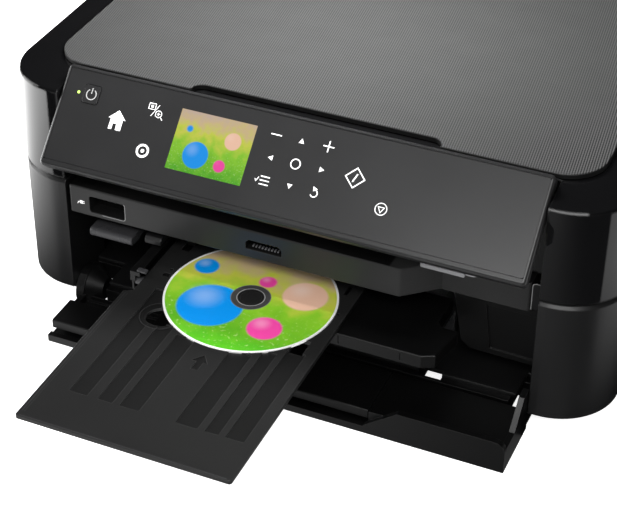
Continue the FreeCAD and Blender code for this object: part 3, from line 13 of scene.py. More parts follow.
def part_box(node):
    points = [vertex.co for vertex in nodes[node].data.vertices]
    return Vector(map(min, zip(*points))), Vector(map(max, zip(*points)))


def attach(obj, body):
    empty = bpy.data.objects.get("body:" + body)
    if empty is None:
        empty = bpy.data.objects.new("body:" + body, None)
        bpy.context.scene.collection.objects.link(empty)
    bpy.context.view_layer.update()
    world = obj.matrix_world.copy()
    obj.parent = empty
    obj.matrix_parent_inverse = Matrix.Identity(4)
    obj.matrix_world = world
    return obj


MM = 0.001
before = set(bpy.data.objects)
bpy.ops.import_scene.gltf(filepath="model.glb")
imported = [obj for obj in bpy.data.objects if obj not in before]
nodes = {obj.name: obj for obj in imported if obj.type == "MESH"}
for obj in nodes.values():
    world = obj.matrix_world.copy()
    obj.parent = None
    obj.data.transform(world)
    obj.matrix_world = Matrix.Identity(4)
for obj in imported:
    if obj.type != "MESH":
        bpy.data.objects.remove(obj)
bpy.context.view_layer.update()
scene = bpy.context.scene

# Places on the object, read from the frame, and the panel's own place
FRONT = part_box("lower_casing")[0].y
PANEL_TILT = math.radians(44.4)
PANEL_SETBACK, PANEL_LEVEL = 17.5 * MM, 194.9 * MM
PANEL_TOP = Vector((0, FRONT + PANEL_SETBACK, PANEL_LEVEL))
PANEL_UP = Vector((0, math.sin(PANEL_TILT), math.cos(PANEL_TILT)))
PANEL_OUT = Vector((0, -math.cos(PANEL_TILT), math.sin(PANEL_TILT)))
PLATE_LEVEL = -0.2          # the plate's face, in millimetres off the panel's plane
RIGHT, BACK, UP = Vector((1, 0, 0)), Vector((0, 1, 0)), Vector((0, 0, 1))
DISC_LOW, DISC_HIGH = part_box("disc")
DISC_CENTRE = (DISC_LOW + DISC_HIGH) / 2
BAR_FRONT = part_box("card_slot_bar")[0].y


def on_panel(across, down, level=0.0):
    """Place on the panel: millimetres from its middle and below its top edge."""
    return PANEL_TOP + (RIGHT * across - PANEL_UP * down + PANEL_OUT * level) * MM


# ---------------------------------------------------------------------------------------
# Materials
# ---------------------------------------------------------------------------------------
MIX_FACTOR, MIX_BELOW, MIX_ABOVE, MIX_RESULT = 0, 6, 7, 2    # a mix node's colour sockets
EDGE_COSINES = (0.985, 0.80)        # turn of the softened normal off and on an edge
GRAIN_STRENGTH = 0.35
SHARP_ANGLE = math.radians(28)


def colour_of(value):
    """A grey or a colour as four channels."""
    if isinstance(value, (int, float)):
        return (value, value, value, 1.0)
    return (*value, 1.0) if len(value) == 3 else value


class Surface:
    """A material under construction: a Principled shader and helpers for its inputs."""

    def __init__(self, name):
        self.material = bpy.data.materials.new(name)
        self.material.use_nodes = True
        self.tree = self.material.node_tree
        self.shader = self.tree.nodes["Principled BSDF"]
        self.place = self.node("ShaderNodeTexCoord").outputs["Object"]

    def node(self, kind, **settings):
        made = self.tree.nodes.new(kind)
        for key, value in settings.items():
            setattr(made, key, value)
        return made

    def link(self, source, target):
        self.tree.links.new(source, target)

    def feed(self, value, target):
        """Give an input a link, a number or a colour."""
        if isinstance(value, bpy.types.NodeSocket):
            self.link(value, target)
        elif target.type == "RGBA":
            target.default_value = colour_of(value)
        else:
            target.default_value = value

    def wire(self, value, name):
        """Link a value to one of the shader's inputs."""
        self.link(value, self.shader.inputs[name])

    def noise(self, scale, detail=3.0, stretch=(1, 1, 1)):
        """A noise value over the object, with the scale in features per metre."""
        mapping = self.node("ShaderNodeMapping")
        mapping.inputs["Scale"].default_value = stretch
        self.link(self.place, mapping.inputs["Vector"])
        texture = self.node("ShaderNodeTexNoise")
        texture.inputs["Scale"].default_value = scale
        texture.inputs["Detail"].default_value = detail
        self.link(mapping.outputs["Vector"], texture.inputs["Vector"])
        return texture.outputs["Fac"]

    def ramp(self, value, stops):
        """Colours along a value; stops are (position, colour or grey)."""
        ramp = self.node("ShaderNodeValToRGB")
        elements = ramp.color_ramp.elements
        while len(elements) < len(stops):
            elements.new(0.5)
        for element, (position, colour) in zip(elements, stops):
            element.position = position
            element.color = colour_of(colour)
        self.link(value, ramp.inputs["Fac"])
        return ramp.outputs["Color"]

    def varied(self, scale, low, high, detail=3.0, stops=(0.3, 0.7)):
        """A colour or a grey that drifts from low to high in patches over the object."""
        return self.ramp(self.noise(scale, detail), list(zip(stops, (low, high))))

    def mottled(self, low, high):
        """A tone in patches of some centimetres."""
        return self.varied(14.0, low, high, 4.0)

    def rubbed(self, low, high):
        """A roughness in patches of about two centimetres."""
        return self.varied(45.0, low, high, 5.0, (0.3, 0.75))

    def math(self, operation, first, second=0.0):
        """Result of a math step on two values."""
        step = self.node("ShaderNodeMath", operation=operation)
        self.feed(first, step.inputs[0])
        self.feed(second, step.inputs[1])
        return step.outputs[0]

    def spread(self, value, low, high):
        """A smooth 0 to 1 as a value goes from low to high."""
        step = self.node("ShaderNodeMapRange", interpolation_type="SMOOTHSTEP")
        self.link(value, step.inputs["Value"])
        step.inputs["From Min"].default_value = low
        step.inputs["From Max"].default_value = high
        return step.outputs["Result"]

    def plane(self, origin, tilt=0.0):
        """Millimetres in a plane at an origin that leans back about X by a tilt."""
        mapping = self.node("ShaderNodeMapping", vector_type="TEXTURE")
        mapping.inputs["Location"].default_value = origin
        mapping.inputs["Rotation"].default_value = (tilt, 0, 0)
        mapping.inputs["Scale"].default_value = (MM, MM, MM)
        self.link(self.place, mapping.inputs["Vector"])
        return mapping.outputs["Vector"]

    def distance(self, point, centre):
        """How far a point is from a centre of two or three coordinates."""
        step = self.node("ShaderNodeVectorMath", operation="DISTANCE")
        self.link(point, step.inputs[0])
        step.inputs[1].default_value = (*centre, 0)[:3]
        return step.outputs["Value"]

    def parts(self, point):
        """The three coordinates of a point."""
        split = self.node("ShaderNodeSeparateXYZ")
        self.link(point, split.inputs["Vector"])
        return split.outputs["X"], split.outputs["Y"], split.outputs["Z"]

    def over(self, below, colour, cover):
        """A colour laid over another where the cover is 1."""
        mix = self.node("ShaderNodeMix", data_type="RGBA")
        self.feed(cover, mix.inputs[MIX_FACTOR])
        self.feed(below, mix.inputs[MIX_BELOW])
        self.feed(colour, mix.inputs[MIX_ABOVE])
        return mix.outputs[MIX_RESULT]

    def bump(self, height, depth, strength=1.0, edge=0.5 * MM):
        """Relief of the given depth in metres, over softened edges."""
        soft = self.node("ShaderNodeBevel", samples=4)
        soft.inputs["Radius"].default_value = edge
        relief = self.node("ShaderNodeBump")
        relief.inputs["Strength"].default_value = strength
        relief.inputs["Distance"].default_value = depth
        self.link(height, relief.inputs["Height"])
        self.link(soft.outputs["Normal"], relief.inputs["Normal"])
        self.link(relief.outputs["Normal"], self.shader.inputs["Normal"])

    def edges(self, reach):
        """1 along the edges of the shape and 0 further away than the reach."""
        soft = self.node("ShaderNodeBevel", samples=6)
        soft.inputs["Radius"].default_value = reach
        turn = self.node("ShaderNodeVectorMath", operation="DOT_PRODUCT")
        self.link(soft.outputs["Normal"], turn.inputs[0])
        self.link(self.node("ShaderNodeNewGeometry").outputs["Normal"], turn.inputs[1])
        return self.spread(turn.outputs["Value"], *EDGE_COSINES)

    def set(self, **values):
        """Constant inputs of the shader, with _ for a space in their names."""
        for key, value in values.items():
            self.shader.inputs[key.replace("_", " ")].default_value = value


def shade(colour, factor):
    """A colour made lighter or darker by a factor."""
    return tuple(channel * factor for channel in colour_of(colour)[:3])


EDGE_ROUGH = 0.42
LEAST_ROUGH = 0.02


def plastic(name, colour, rough, spread=0.05, grain=0.02 * MM, grain_scale=2600.0,
            edge=0.5 * MM, painted_edge_shading=None):
    """Moulded plastic: slight mottling, a fine grain and, where given, a tone painted along its
    edges as painted light: lighter for a highlight, darker for shade.
    """
    surface = Surface(name)
    tone = surface.mottled(shade(colour, 0.9), shade(colour, 1.1))
    gloss = surface.rubbed(max(rough - spread, LEAST_ROUGH), rough + spread)
    if painted_edge_shading:
        # Painted light on the edges: the given tone is laid over the body's tone near each edge,
        # and the gloss there is rougher
        near_edge = surface.edges(edge)
        tone = surface.over(tone, painted_edge_shading, near_edge)
        gloss = surface.over(gloss, EDGE_ROUGH, near_edge)
    surface.wire(tone, "Base Color")
    surface.wire(gloss, "Roughness")
    surface.bump(surface.noise(grain_scale, 2.0), grain, GRAIN_STRENGTH, edge)
    return surface.material


def metal(name, colour, rough, stretch=(1, 1, 1)):
    """Bare metal with fine brush marks along the direction that is stretched."""
    surface = Surface(name)
    brushed = surface.noise(900.0, 3.0, stretch)
    surface.wire(surface.ramp(brushed, [(0.3, shade(colour, 0.8)), (0.7, colour)]),
                 "Base Color")
    surface.wire(surface.varied(60.0, rough * 0.8, rough * 1.25), "Roughness")
    surface.bump(brushed, 0.01 * MM, 0.4)
    surface.set(Metallic=1.0)
    return surface.material


# The lid's hatch: its greys, and the pitch and slant of its two crossing waves
LID_DARK, LID_LIGHT, LID_EDGE = 0.006, 0.060, 0.004
HATCH_PITCH, HATCH_SLANT = 1.65 * MM, 0.12
CROSS_PITCH, CROSS_SLANT, CROSS_SHARE = 2.6 * MM, 0.8, 0.4
KNUCKLE_RISE = 2.2 * MM     # how far the hinge knuckles stand above the lid's top face
LID_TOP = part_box("document_lid")[1].z - KNUCKLE_RISE


def lid_texture():
    """Dark grey plastic with a fine diagonal hatch on its top face."""
    surface = Surface("lid_hatch")
    x, y, level = surface.parts(surface.place)
    hatch = surface.math("ADD", x, surface.math("MULTIPLY", y, HATCH_SLANT))
    cross = surface.math("SUBTRACT", y, surface.math("MULTIPLY", x, CROSS_SLANT))
    wave = surface.math("SINE", surface.math("MULTIPLY", hatch, 2 * math.pi / HATCH_PITCH))
    counter = surface.math("SINE", surface.math("MULTIPLY", cross, 2 * math.pi / CROSS_PITCH))
    weave = surface.math("ADD", wave, surface.math("MULTIPLY", counter, CROSS_SHARE))
    height = surface.math("ADD", surface.math("MULTIPLY", weave, 0.5), 0.5)
    weave_colour = surface.ramp(height, [(0.35, LID_DARK), (0.65, LID_LIGHT)])
    face = surface.spread(level, LID_TOP - 0.5 * MM, LID_TOP - 0.2 * MM)
    surface.wire(surface.over(LID_EDGE, weave_colour, face), "Base Color")
    surface.wire(surface.varied(30.0, 0.44, 0.52, 4.0), "Roughness")
    surface.bump(height, 0.05 * MM, 0.4)
    return surface.material


# Painted shade of the channel floors and painted highlight of the tray's edges
CHANNEL_SHADE, CADDY_EDGE_HIGHLIGHT = 0.0068, 0.050


def caddy_plastic():
    """The tray's black plastic: painted shade on the floors of its channels and a painted
    highlight along its edges.
    """
    surface = Surface("caddy_black")
    _, _, level = surface.parts(surface.place)
    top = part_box("disc_caddy")[1].z
    sunk = surface.spread(level, top - 0.3 * MM, top - 0.5 * MM)
    # Painted shade on the sunken channel floors
    tone = surface.over(surface.mottled(0.0095, 0.0115), CHANNEL_SHADE, sunk)
    # Painted highlight along the tray's edges
    tone = surface.over(tone, CADDY_EDGE_HIGHLIGHT, surface.edges(0.5 * MM))
    surface.wire(tone, "Base Color")
    surface.wire(surface.rubbed(0.37, 0.47), "Roughness")
    surface.bump(surface.noise(1900.0, 2.0), 0.03 * MM, GRAIN_STRENGTH)
    return surface.material


# Painted highlight of the bar's edges, painted shade inside its slots, and the roughness there
BAR_EDGE_HIGHLIGHT, SLOT_SHADE, SLOT_ROUGH = 0.055, 0.0012, 0.95
SLOTS_END = (72 * MM, 70 * MM)      # the slots lie to the left of this


def bar_plastic():
    """The bar's grey plastic, with a painted highlight along its edges and painted shade, near
    black, inside its recess and its card slot.
    """
    surface = Surface("bar_satin")
    across, depth, _ = surface.parts(surface.place)
    # Painted highlight along the bar's edges
    tone = surface.over(surface.mottled(0.018, 0.021), BAR_EDGE_HIGHLIGHT, surface.edges(0.5 * MM))
    # Painted shade inside the recess and the card slot: near black and very rough behind the front
    # face, left of the slots' end
    deep = surface.spread(depth, BAR_FRONT + 0.6 * MM, BAR_FRONT + 1.4 * MM)
    shaded_inside = surface.math("MULTIPLY", deep, surface.spread(across, *SLOTS_END))
    surface.wire(surface.over(tone, SLOT_SHADE, shaded_inside), "Base Color")
    surface.wire(surface.over(surface.rubbed(0.31, 0.41), SLOT_ROUGH, shaded_inside), "Roughness")
    surface.set(Specular_IOR_Level=0.3)
    surface.bump(surface.noise(2600.0, 2.0), 0.02 * MM, GRAIN_STRENGTH)
    return surface.material


def glow(name, colour, strength):
    """Pale ink that also gives off a little light."""
    surface = Surface(name)
    surface.wire(surface.varied(900.0, shade(colour, 0.9), colour, stops=(0.2, 0.8)),
                 "Base Color")
    surface.set(Emission_Color=colour_of(colour), Emission_Strength=strength, Roughness=0.4)
    return surface.material


INDICATOR_PLACE = (-159.2, 18.3)
INDICATOR_LIGHT = (0.50, 0.80, 0.12)


def indicator():
    """Lens of the indicator, lit only at its middle."""
    surface = Surface("indicator")
    away = surface.distance(surface.place, on_panel(*INDICATOR_PLACE))
    lit = surface.spread(away, 1.3 * MM, 0.6 * MM)
    surface.wire(surface.over(0.02, INDICATOR_LIGHT, lit), "Base Color")
    surface.wire(surface.math("MULTIPLY", lit, 1.2), "Emission Strength")
    surface.set(Emission_Color=colour_of(INDICATOR_LIGHT), Roughness=0.4)
    return surface.material


def clear_glass():
    """Slightly green glass with faint smears."""
    surface = Surface("scan_glass")
    surface.wire(surface.varied(20.0, 0.01, 0.05, 5.0, (0.3, 0.8)), "Roughness")
    surface.set(Base_Color=(0.86, 0.93, 0.92, 1), Transmission_Weight=1.0, IOR=1.5)
    return surface.material


# Balloons of the made-up picture: centre, radius and colour
BLUE, PINK, PEACH = (0.0, 0.27, 0.78), (0.80, 0.06, 0.34), (0.80, 0.50, 0.36)
BALLOONS = (((-9, -8), 9.5, BLUE), ((9.5, -11.5), 5, PINK), ((14, 6.5), 6.5, PEACH),
            ((-18, 8.5), 3.6, BLUE), ((1.5, 8.5), 2.6, PINK))
# Colours of its meadow from the bottom up, its blades' colour and its height at scale 1
MEADOW = [(0.0, (0.07, 0.36, 0.01)), (0.42, (0.22, 0.52, 0.02)), (0.66, (0.52, 0.56, 0.06)),
          (0.85, (0.55, 0.42, 0.22)), (1.0, (0.50, 0.38, 0.30))]
BLADE_GREEN = (0.55, 0.75, 0.30)
PICTURE_HEIGHT = 44.0
SHINE_SHIFT, SHINE_REACH = 0.35, 0.75       # a balloon's highlight, as shares of its radius


def meadow(surface, point, scale):
    """Colour of a made-up picture, balloons over a blurred meadow, in a plane."""
    _, height, _ = surface.parts(point)
    drift = surface.math("SUBTRACT", surface.noise(0.16 / MM / scale, 2.0), 0.5)
    sway = surface.math("MULTIPLY", drift, 0.5)
    level = surface.math("ADD", surface.math("DIVIDE", height, PICTURE_HEIGHT * scale), sway)
    colour = surface.ramp(surface.math("ADD", level, 0.5), MEADOW)
    blades = surface.spread(surface.noise(0.9 / MM / scale, 4.0), 0.56, 0.74)
    grass = surface.math("MULTIPLY", blades, surface.spread(level, 0.05, -0.25))
    colour = surface.over(colour, BLADE_GREEN, surface.math("MULTIPLY", grass, 0.5))
    for (x, y), radius, tint in BALLOONS:
        away = surface.distance(point, (x * scale, y * scale))
        colour = surface.over(colour, tint,
                              surface.spread(away, (radius + 0.5) * scale, (radius - 0.5) * scale))
        shift = radius * SHINE_SHIFT
        shine = surface.distance(point, ((x - shift) * scale, (y + shift) * scale))
        light = surface.spread(shine, radius * SHINE_REACH * scale, 0)
        colour = surface.over(colour, tuple(0.35 + 0.65 * c for c in tint),
                              surface.math("MULTIPLY", light, 0.55))
    return colour


def screen_picture():
    """Lit display that shows the made-up picture."""
    surface = Surface("screen_picture")
    low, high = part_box("display_window")
    point = surface.plane((low + high) / 2, math.pi / 2 - PANEL_TILT)
    surface.wire(meadow(surface, point, 1.0), "Emission Color")
    surface.wire(surface.varied(40.0, 0.16, 0.22), "Roughness")
    surface.set(Base_Color=colour_of(0.008), Emission_Strength=1.0)
    return surface.material


# Rings of the disc from the inside out: outer radius in millimetres and colour
DISC_RINGS = ((9.3, 0.012), (9.9, 0.30), (13.4, 0.050), (14.0, 0.14))
PRINT_RADIUS, PLAIN_EDGE = 58.5, 0.75
PRINT_SCALE = 2.4           # size of the disc's picture against the display's


def disc_print():
    """Printed disc: clear hub, grey stacking ring, picture and a bright plain edge."""
    surface = Surface("disc_print")
    point = surface.plane((DISC_CENTRE.x, DISC_CENTRE.y, DISC_HIGH.z))
    away = surface.distance(point, (0, 0))
    colour = meadow(surface, point, PRINT_SCALE)
    for radius, tint in reversed(DISC_RINGS):
        colour = surface.over(colour, tint, surface.spread(away, radius + 0.15, radius - 0.15))
    rim = surface.spread(away, PRINT_RADIUS - 0.2, PRINT_RADIUS + 0.2)
    surface.wire(surface.over(colour, PLAIN_EDGE, rim), "Base Color")
    surface.wire(surface.varied(30.0, 0.34, 0.42, 4.0), "Roughness")
    return surface.material


MATERIALS = {
    # Gloss black: the edge tone matches the body's, so no light is painted on its edges; only
    # their gloss is rougher
    "gloss": plastic("gloss_black", (0.0028, 0.0028, 0.0030), 0.045, spread=0.012,
                     grain=0.004 * MM, grain_scale=900.0, edge=2.5 * MM,
                     painted_edge_shading=(0.0028, 0.0028, 0.0030)),
    # Casing: its edges painted a little darker, painted shade
    "casing": plastic("casing_satin", (0.0055, 0.0055, 0.0057), 0.34, spread=0.03,
                      edge=1.5 * MM, painted_edge_shading=(0.0045, 0.0045, 0.0047)),
    # Satin black: its edges painted a lighter grey, a painted highlight
    "satin": plastic("satin_black", (0.0016, 0.0016, 0.0017), 0.38, painted_edge_shading=(0.014, 0.014, 0.014)),
    "caddy": caddy_plastic(),
    "bar": bar_plastic(),
    # Panel: its edges painted near black, painted shade in the gaps and along the rims
    "panel": plastic("panel_satin", (0.0130, 0.0130, 0.0134), 0.30, spread=0.02,
                     grain=0.003 * MM, edge=0.4 * MM, painted_edge_shading=(0.0015, 0.0015, 0.0016)),
    "lid": lid_texture(),
    "light grey": plastic("light_grey", (0.17, 0.17, 0.177), 0.4),
    "lever grey": plastic("lever_grey", (0.030, 0.030, 0.032), 0.28, edge=2.5 * MM),
    "arm grey": plastic("arm_grey", (0.0085, 0.0085, 0.009), 0.45),
    # Pale grey of the tray's painted highlight lines
    "tray highlight": plastic("tray_highlight", (0.024, 0.024, 0.0245), 0.4),
    # Light grey of painted highlight lines
    "painted highlight": plastic("painted_highlight", (0.22, 0.22, 0.22), 0.3),
    "mid grey": plastic("mid_grey", (0.10, 0.10, 0.105), 0.45),
    "roller grey": plastic("roller_grey", (0.030, 0.030, 0.032), 0.4),
    "white plastic": plastic("white_plastic", (0.62, 0.62, 0.60), 0.4),
    "foam": plastic("foam", (0.72, 0.72, 0.70), 0.8, grain=0.08 * MM, grain_scale=1500.0),
    "rubber": plastic("rubber", (0.012, 0.012, 0.012), 0.75, spread=0.06, grain=0.05 * MM,
                      grain_scale=1600.0),
    "board": plastic("board_green", (0.01, 0.08, 0.03), 0.35),
    "steel": metal("zinc_steel", (0.55, 0.56, 0.58), 0.32, (1, 0.05, 1)),
    "brass": metal("brass_contacts", (0.75, 0.58, 0.25), 0.28),
    "glass": clear_glass(),
    "screen": screen_picture(),
    "disc": disc_print(),
    "lamp": indicator(),
    "mark": glow("mark", (0.80, 0.80, 0.80), 0.25),
    "grey mark": glow("grey_mark", (0.34, 0.34, 0.34), 0.10),
}
NODE_LOOKS = {
    "gloss": ["scanner_housing", "rear_cover", "paper_support"],
    "casing": ["lower_casing"],
    "satin": ["hinge_brackets", "base_pan", "disc_guide", "waste_pad_cover", "front_door",
              "stacker_tray", "platen", "carriage", "lid_hinges", "mains_inlet"],
    "caddy": ["disc_caddy"],
    "bar": ["card_slot_bar"],
    "panel": ["panel_shell", "panel_face", "power_button"],
    "lid": ["document_lid"],
    "light grey": ["release_lever"],
    "lever grey": ["guide_lever"],
    "mid grey": ["cap_station", "power_supply", "scan_carriage", "ink_cartridges",
                 "edge_guide", "feed_roller", "exit_roller"],
    "roller grey": ["guide_clip", "guide_roller"],
    "white plastic": ["feed_gear", "drive_pulley", "idler_pulley", "encoder_strip",
                      "feed_pulley", "exit_pulley"],
    "foam": ["document_pad"],
    "rubber": ["rubber_feet", "pickup_roller", "drive_belt", "exit_belt"],
    "board": ["main_board", "panel_board"],
    "steel": ["chassis_frame", "carriage_rail", "carriage_motor", "feed_motor", "hinge_pins",
              "scan_rail", "usb_socket", "print_head", "star_wheels"],
    "brass": ["card_reader", "feed_pinion"],
    "glass": ["scanner_glass"],
    "screen": ["display_window"],
    "disc": ["disc"],
    "lamp": ["status_led"],
}


def dress(obj, material):
    """One material on a whole object, with soft shading across its round faces."""
    obj.data.materials.clear()
    obj.data.materials.append(material)
    for polygon in obj.data.polygons:
        polygon.use_smooth = True
    obj.data.set_sharp_from_angle(angle=SHARP_ANGLE)


for look, names in NODE_LOOKS.items():
    for name in names:
        dress(nodes[name], MATERIALS[look])


# ---------------------------------------------------------------------------------------
# Pieces made here, and the marks printed on flat faces
# ---------------------------------------------------------------------------------------
def add_piece(mesh, name, body, material):
    """Put a finished mesh into the scene as a piece that rides on a body."""
    bmesh.ops.recalc_face_normals(mesh, faces=mesh.faces)
    data = bpy.data.meshes.new(name)
    mesh.to_mesh(data)
    mesh.free()
    data.materials.append(material)
    piece = bpy.data.objects.new(name, data)
    scene.collection.objects.link(piece)
    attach(piece, body)


INK = 0.05          # how far a mark stands out of its face, in millimetres
LEAST_MITRE = 0.3   # keeps a line's corner from running far out at a sharp turn


def circle(radius, start=0, end=360, steps=28, centre=(0, 0)):
    """Points of an arc; a whole circle leaves out its repeated last point."""
    count = steps if end - start == 360 else steps + 1
    angles = [math.radians(start + (end - start) * i / steps) for i in range(count)]
    return [(centre[0] + radius * math.cos(a), centre[1] + radius * math.sin(a)) for a in angles]


def oblong(half_width, half_height):
    """Corners of an upright rectangle about the origin."""
    return [(-half_width, -half_height), (half_width, -half_height),
            (half_width, half_height), (-half_width, half_height)]


def turned(points, quarter):
    """Points turned by quarter turns."""
    for _ in range(quarter):
        points = [(-y, x) for x, y in points]
    return points


def ribbon(points, width, closed):
    """Both edges of a line of the given width, mitred at its corners."""
    spots = [Vector(point) for point in points]
    edges = []
    for i, here in enumerate(spots):
        before = spots[i - 1] if i or closed else here
        after = spots[(i + 1) % len(spots)] if i + 1 < len(spots) or closed else here
        first, second = (here - before).normalized(), (after - here).normalized()
        ahead = (first + second).normalized()
        side = Vector((-ahead.y, ahead.x))
        run = second if second.length else first
        reach = width / 2 / max(side.dot(Vector((-run.y, run.x))), LEAST_MITRE)
        edges.append((here + side * reach, here - side * reach))
    return edges


class Print:
    """Marks on one flat face: thin shapes drawn in its plane, in millimetres."""

    def __init__(self, right, up):
        self.right, self.up = right, up
        self.out = right.cross(up)
        self.mesh = bmesh.new()
        self.origin = None

    def at(self, origin):
        """Draw from here on about this origin."""
        self.origin = origin
        return self

    def _point(self, spot, level):
        x, y = spot
        return self.mesh.verts.new(
            self.origin + (self.right * x + self.up * y + self.out * level) * MM)

    def fill(self, *outlines):
        """Solid shapes."""
        for points in outlines:
            foot = [self._point(p, -INK) for p in points]
            top = [self._point(p, INK) for p in points]
            self.mesh.faces.new(top)
            for i in range(len(points)):
                j = (i + 1) % len(points)
                self.mesh.faces.new((foot[i], foot[j], top[j], top[i]))
        return self

    def line(self, points, width, closed=False):
        """A line of even width."""
        edges = ribbon(points, width, closed)
        last = len(edges) if closed else len(edges) - 1
        for i in range(last):
            (a, b), (c, d) = edges[i], edges[(i + 1) % len(edges)]
            self.fill([b, d, c, a])
        return self

    def finish(self, name, body, material):
        add_piece(self.mesh, name, body, material)


ARROW = [(0, 1.7), (-1.8, -1.6), (1.8, -1.6)]
HOUSE = [(-6.4, 0.8), (0, 6.9), (6.4, 0.8), (4.6, 0.8), (4.6, -6.8), (0.7, -6.8), (0.7, -2.6),
         (-2, -2.6), (-2, -6.8), (-4.6, -6.8), (-4.6, 0.8)]
DIAMOND = [(6.6, 0), (0, 6.6), (-6.6, 0), (0, -6.6)]
TRIANGLE = [(0, -2.4), (2.1, 1.2), (-2.1, 1.2)]
TICK = [(-5.4, 0.2), (-4.4, -1.2), (-3.0, 1.8)]
HOOK_TIP = [(-1.9, 3.7), (-1.3, 0.5), (1.5, 2.2)]
BOLD, FINE = 0.75, 0.45     # widths of the lines

# Middle of each sign: millimetres from the panel's middle and below its top edge
SIGNS = {
    "home": (-125.8, 31.1), "sheet": (-103.5, 16.2), "slash": (-100.7, 18.7),
    "lens": (-97.6, 20.6), "help": (-101.0, 47.1), "less": (-12.7, 15.6),
    "more": (24.2, 15.4), "centre": (5.7, 31.5), "list": (-13.0, 47.0),
    "back": (23.9, 46.5), "start": (47.3, 31.2), "stop": (69.7, 46.8),
}
ARROW_PLACES = ((5.4, 15.8), (-12.3, 31.3), (6.0, 46.7), (24.1, 31.2))
POWER_PLACE, POWER_LEVEL = (-149.4, 18.2), 0.3
PLUG_PLACE = (-161.8, 93.8)


def cross_lines(marks, reach, width):
    """An upright cross."""
    marks.line([(-reach, 0), (reach, 0)], width)
    marks.line([(0, -reach), (0, reach)], width)


def panel_marks():
    """Touch keys beside the display, as plain signs without lettering."""
    marks = Print(RIGHT, PANEL_UP)

    def sign(name):
        return marks.at(on_panel(*SIGNS[name], PLATE_LEVEL))

    sign("home").fill(HOUSE)
    sign("sheet").line(oblong(2.4, 2), FINE, closed=True).fill(oblong(0.9, 0.9))
    sign("slash").line([(-2.2, -4.2), (2.2, 4.2)], FINE)
    sign("lens").line(circle(2.3), FINE, closed=True).line([(1.7, -1.7), (3.6, -3.6)], 0.6)
    cross_lines(marks, 1.3, 0.4)
    sign("help").line(circle(4.0), 1.5, closed=True).fill(circle(1.3, steps=16))
    sign("less").line([(-3.8, 0), (3.8, 0)], BOLD)
    sign("more")
    cross_lines(marks, 3.8, BOLD)
    for quarter, place in enumerate(ARROW_PLACES):
        marks.at(on_panel(*place, PLATE_LEVEL)).fill(turned(ARROW, quarter))
    sign("centre").line(circle(3.2), BOLD, closed=True)
    sign("list")
    for level in (2.6, 0, -2.6):
        marks.line([(-1.9, level), (4.6, level)], BOLD)
    marks.line(TICK, 0.5)
    sign("back").line(circle(2.4, -150, 60, 16, (-0.5, -0.8)), 0.7).fill(HOOK_TIP)
    sign("start").line(DIAMOND, BOLD, closed=True).line([(-1.1, -2.8), (1.1, 2.8)], 0.95)
    sign("stop").line(circle(3.9), 0.5, closed=True).line(TRIANGLE, FINE, closed=True)
    marks.finish("panel_marks", "panel", MATERIALS["mark"])


def power_mark():
    """Ring with a gap at the top and an upright stroke in it."""
    marks = Print(RIGHT, PANEL_UP).at(on_panel(*POWER_PLACE, POWER_LEVEL))
    marks.line(circle(3.6, 122, 418, 24), 0.7)
    marks.line([(0, 0.5), (0, 4.6)], 0.7)
    marks.finish("power_mark", "power_key", MATERIALS["grey mark"])


def on_bar(across, height):
    """Place on the bar's front face, in millimetres."""
    return Vector((across * MM, BAR_FRONT, height * MM))


def bar_mark():
    """A small plug sign beside the recess of the data socket."""
    marks = Print(RIGHT, UP).at(on_bar(*PLUG_PLACE))
    marks.fill(oblong(1.1, 1.3))
    for prong in (0.7, -0.7):
        marks.line([(1.1, prong), (2.6, prong)], FINE)
    marks.line([(-1.1, 0), (-2.2, 0), (-3.0, -1.8)], 0.5)
    marks.finish("bar_mark", "base", MATERIALS["mark"])


RECESS_PLACE = (-141.3, 93.75)
RECESS_RADIUS, RECESS_BENDS = 2.2, (12.2, 4.9)     # its corners' radius, and their middles


def recess_highlight():
    """Painted highlight: a thin bright line along the right and lower edge of the socket's recess.
    """
    marks = Print(RIGHT, UP).at(on_bar(*RECESS_PLACE))
    out, rise = RECESS_BENDS
    corner = circle(RECESS_RADIUS, -90, 0, 8, (out, -rise))
    upper = circle(RECESS_RADIUS, 0, 60, 5, (out, rise))
    marks.line([(-4, -rise - RECESS_RADIUS), *corner, *upper], FINE)
    marks.finish("recess_highlight", "base", MATERIALS["painted highlight"])


RAIL_LINES = ((2.6, 0.5), (4.4, 0.35))      # place from the left edge, and width
RAIL_START, RAIL_STOP = 5, 30       # from the tray's front, and short of the disc's middle
LIP_INSET = 3
RING_SHIFT, RING_RADIUS = Vector((-46.5, -43.8, 0)), 14.0


def caddy_highlight_lines():
    """Painted highlights as pale lines on the tray: left rail, front lip and the finger hole's
    ring.
    """
    low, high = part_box("disc_caddy")
    marks = Print(RIGHT, BACK).at(Vector((low.x, low.y, high.z)))
    stop = (DISC_CENTRE.y - low.y) / MM - RAIL_STOP
    for across, width in RAIL_LINES:
        marks.line([(across, RAIL_START), (across, stop)], width)
    marks.line([(LIP_INSET, 1.0), ((high.x - low.x) / MM - LIP_INSET, 1.0)], 0.7)
    ring = Vector((DISC_CENTRE.x, DISC_CENTRE.y, high.z)) + RING_SHIFT * MM
    marks.at(ring).line(circle(RING_RADIUS, 110, 345, 30), 0.4)
    marks.finish("caddy_highlight_lines", "caddy", MATERIALS["tray highlight"])


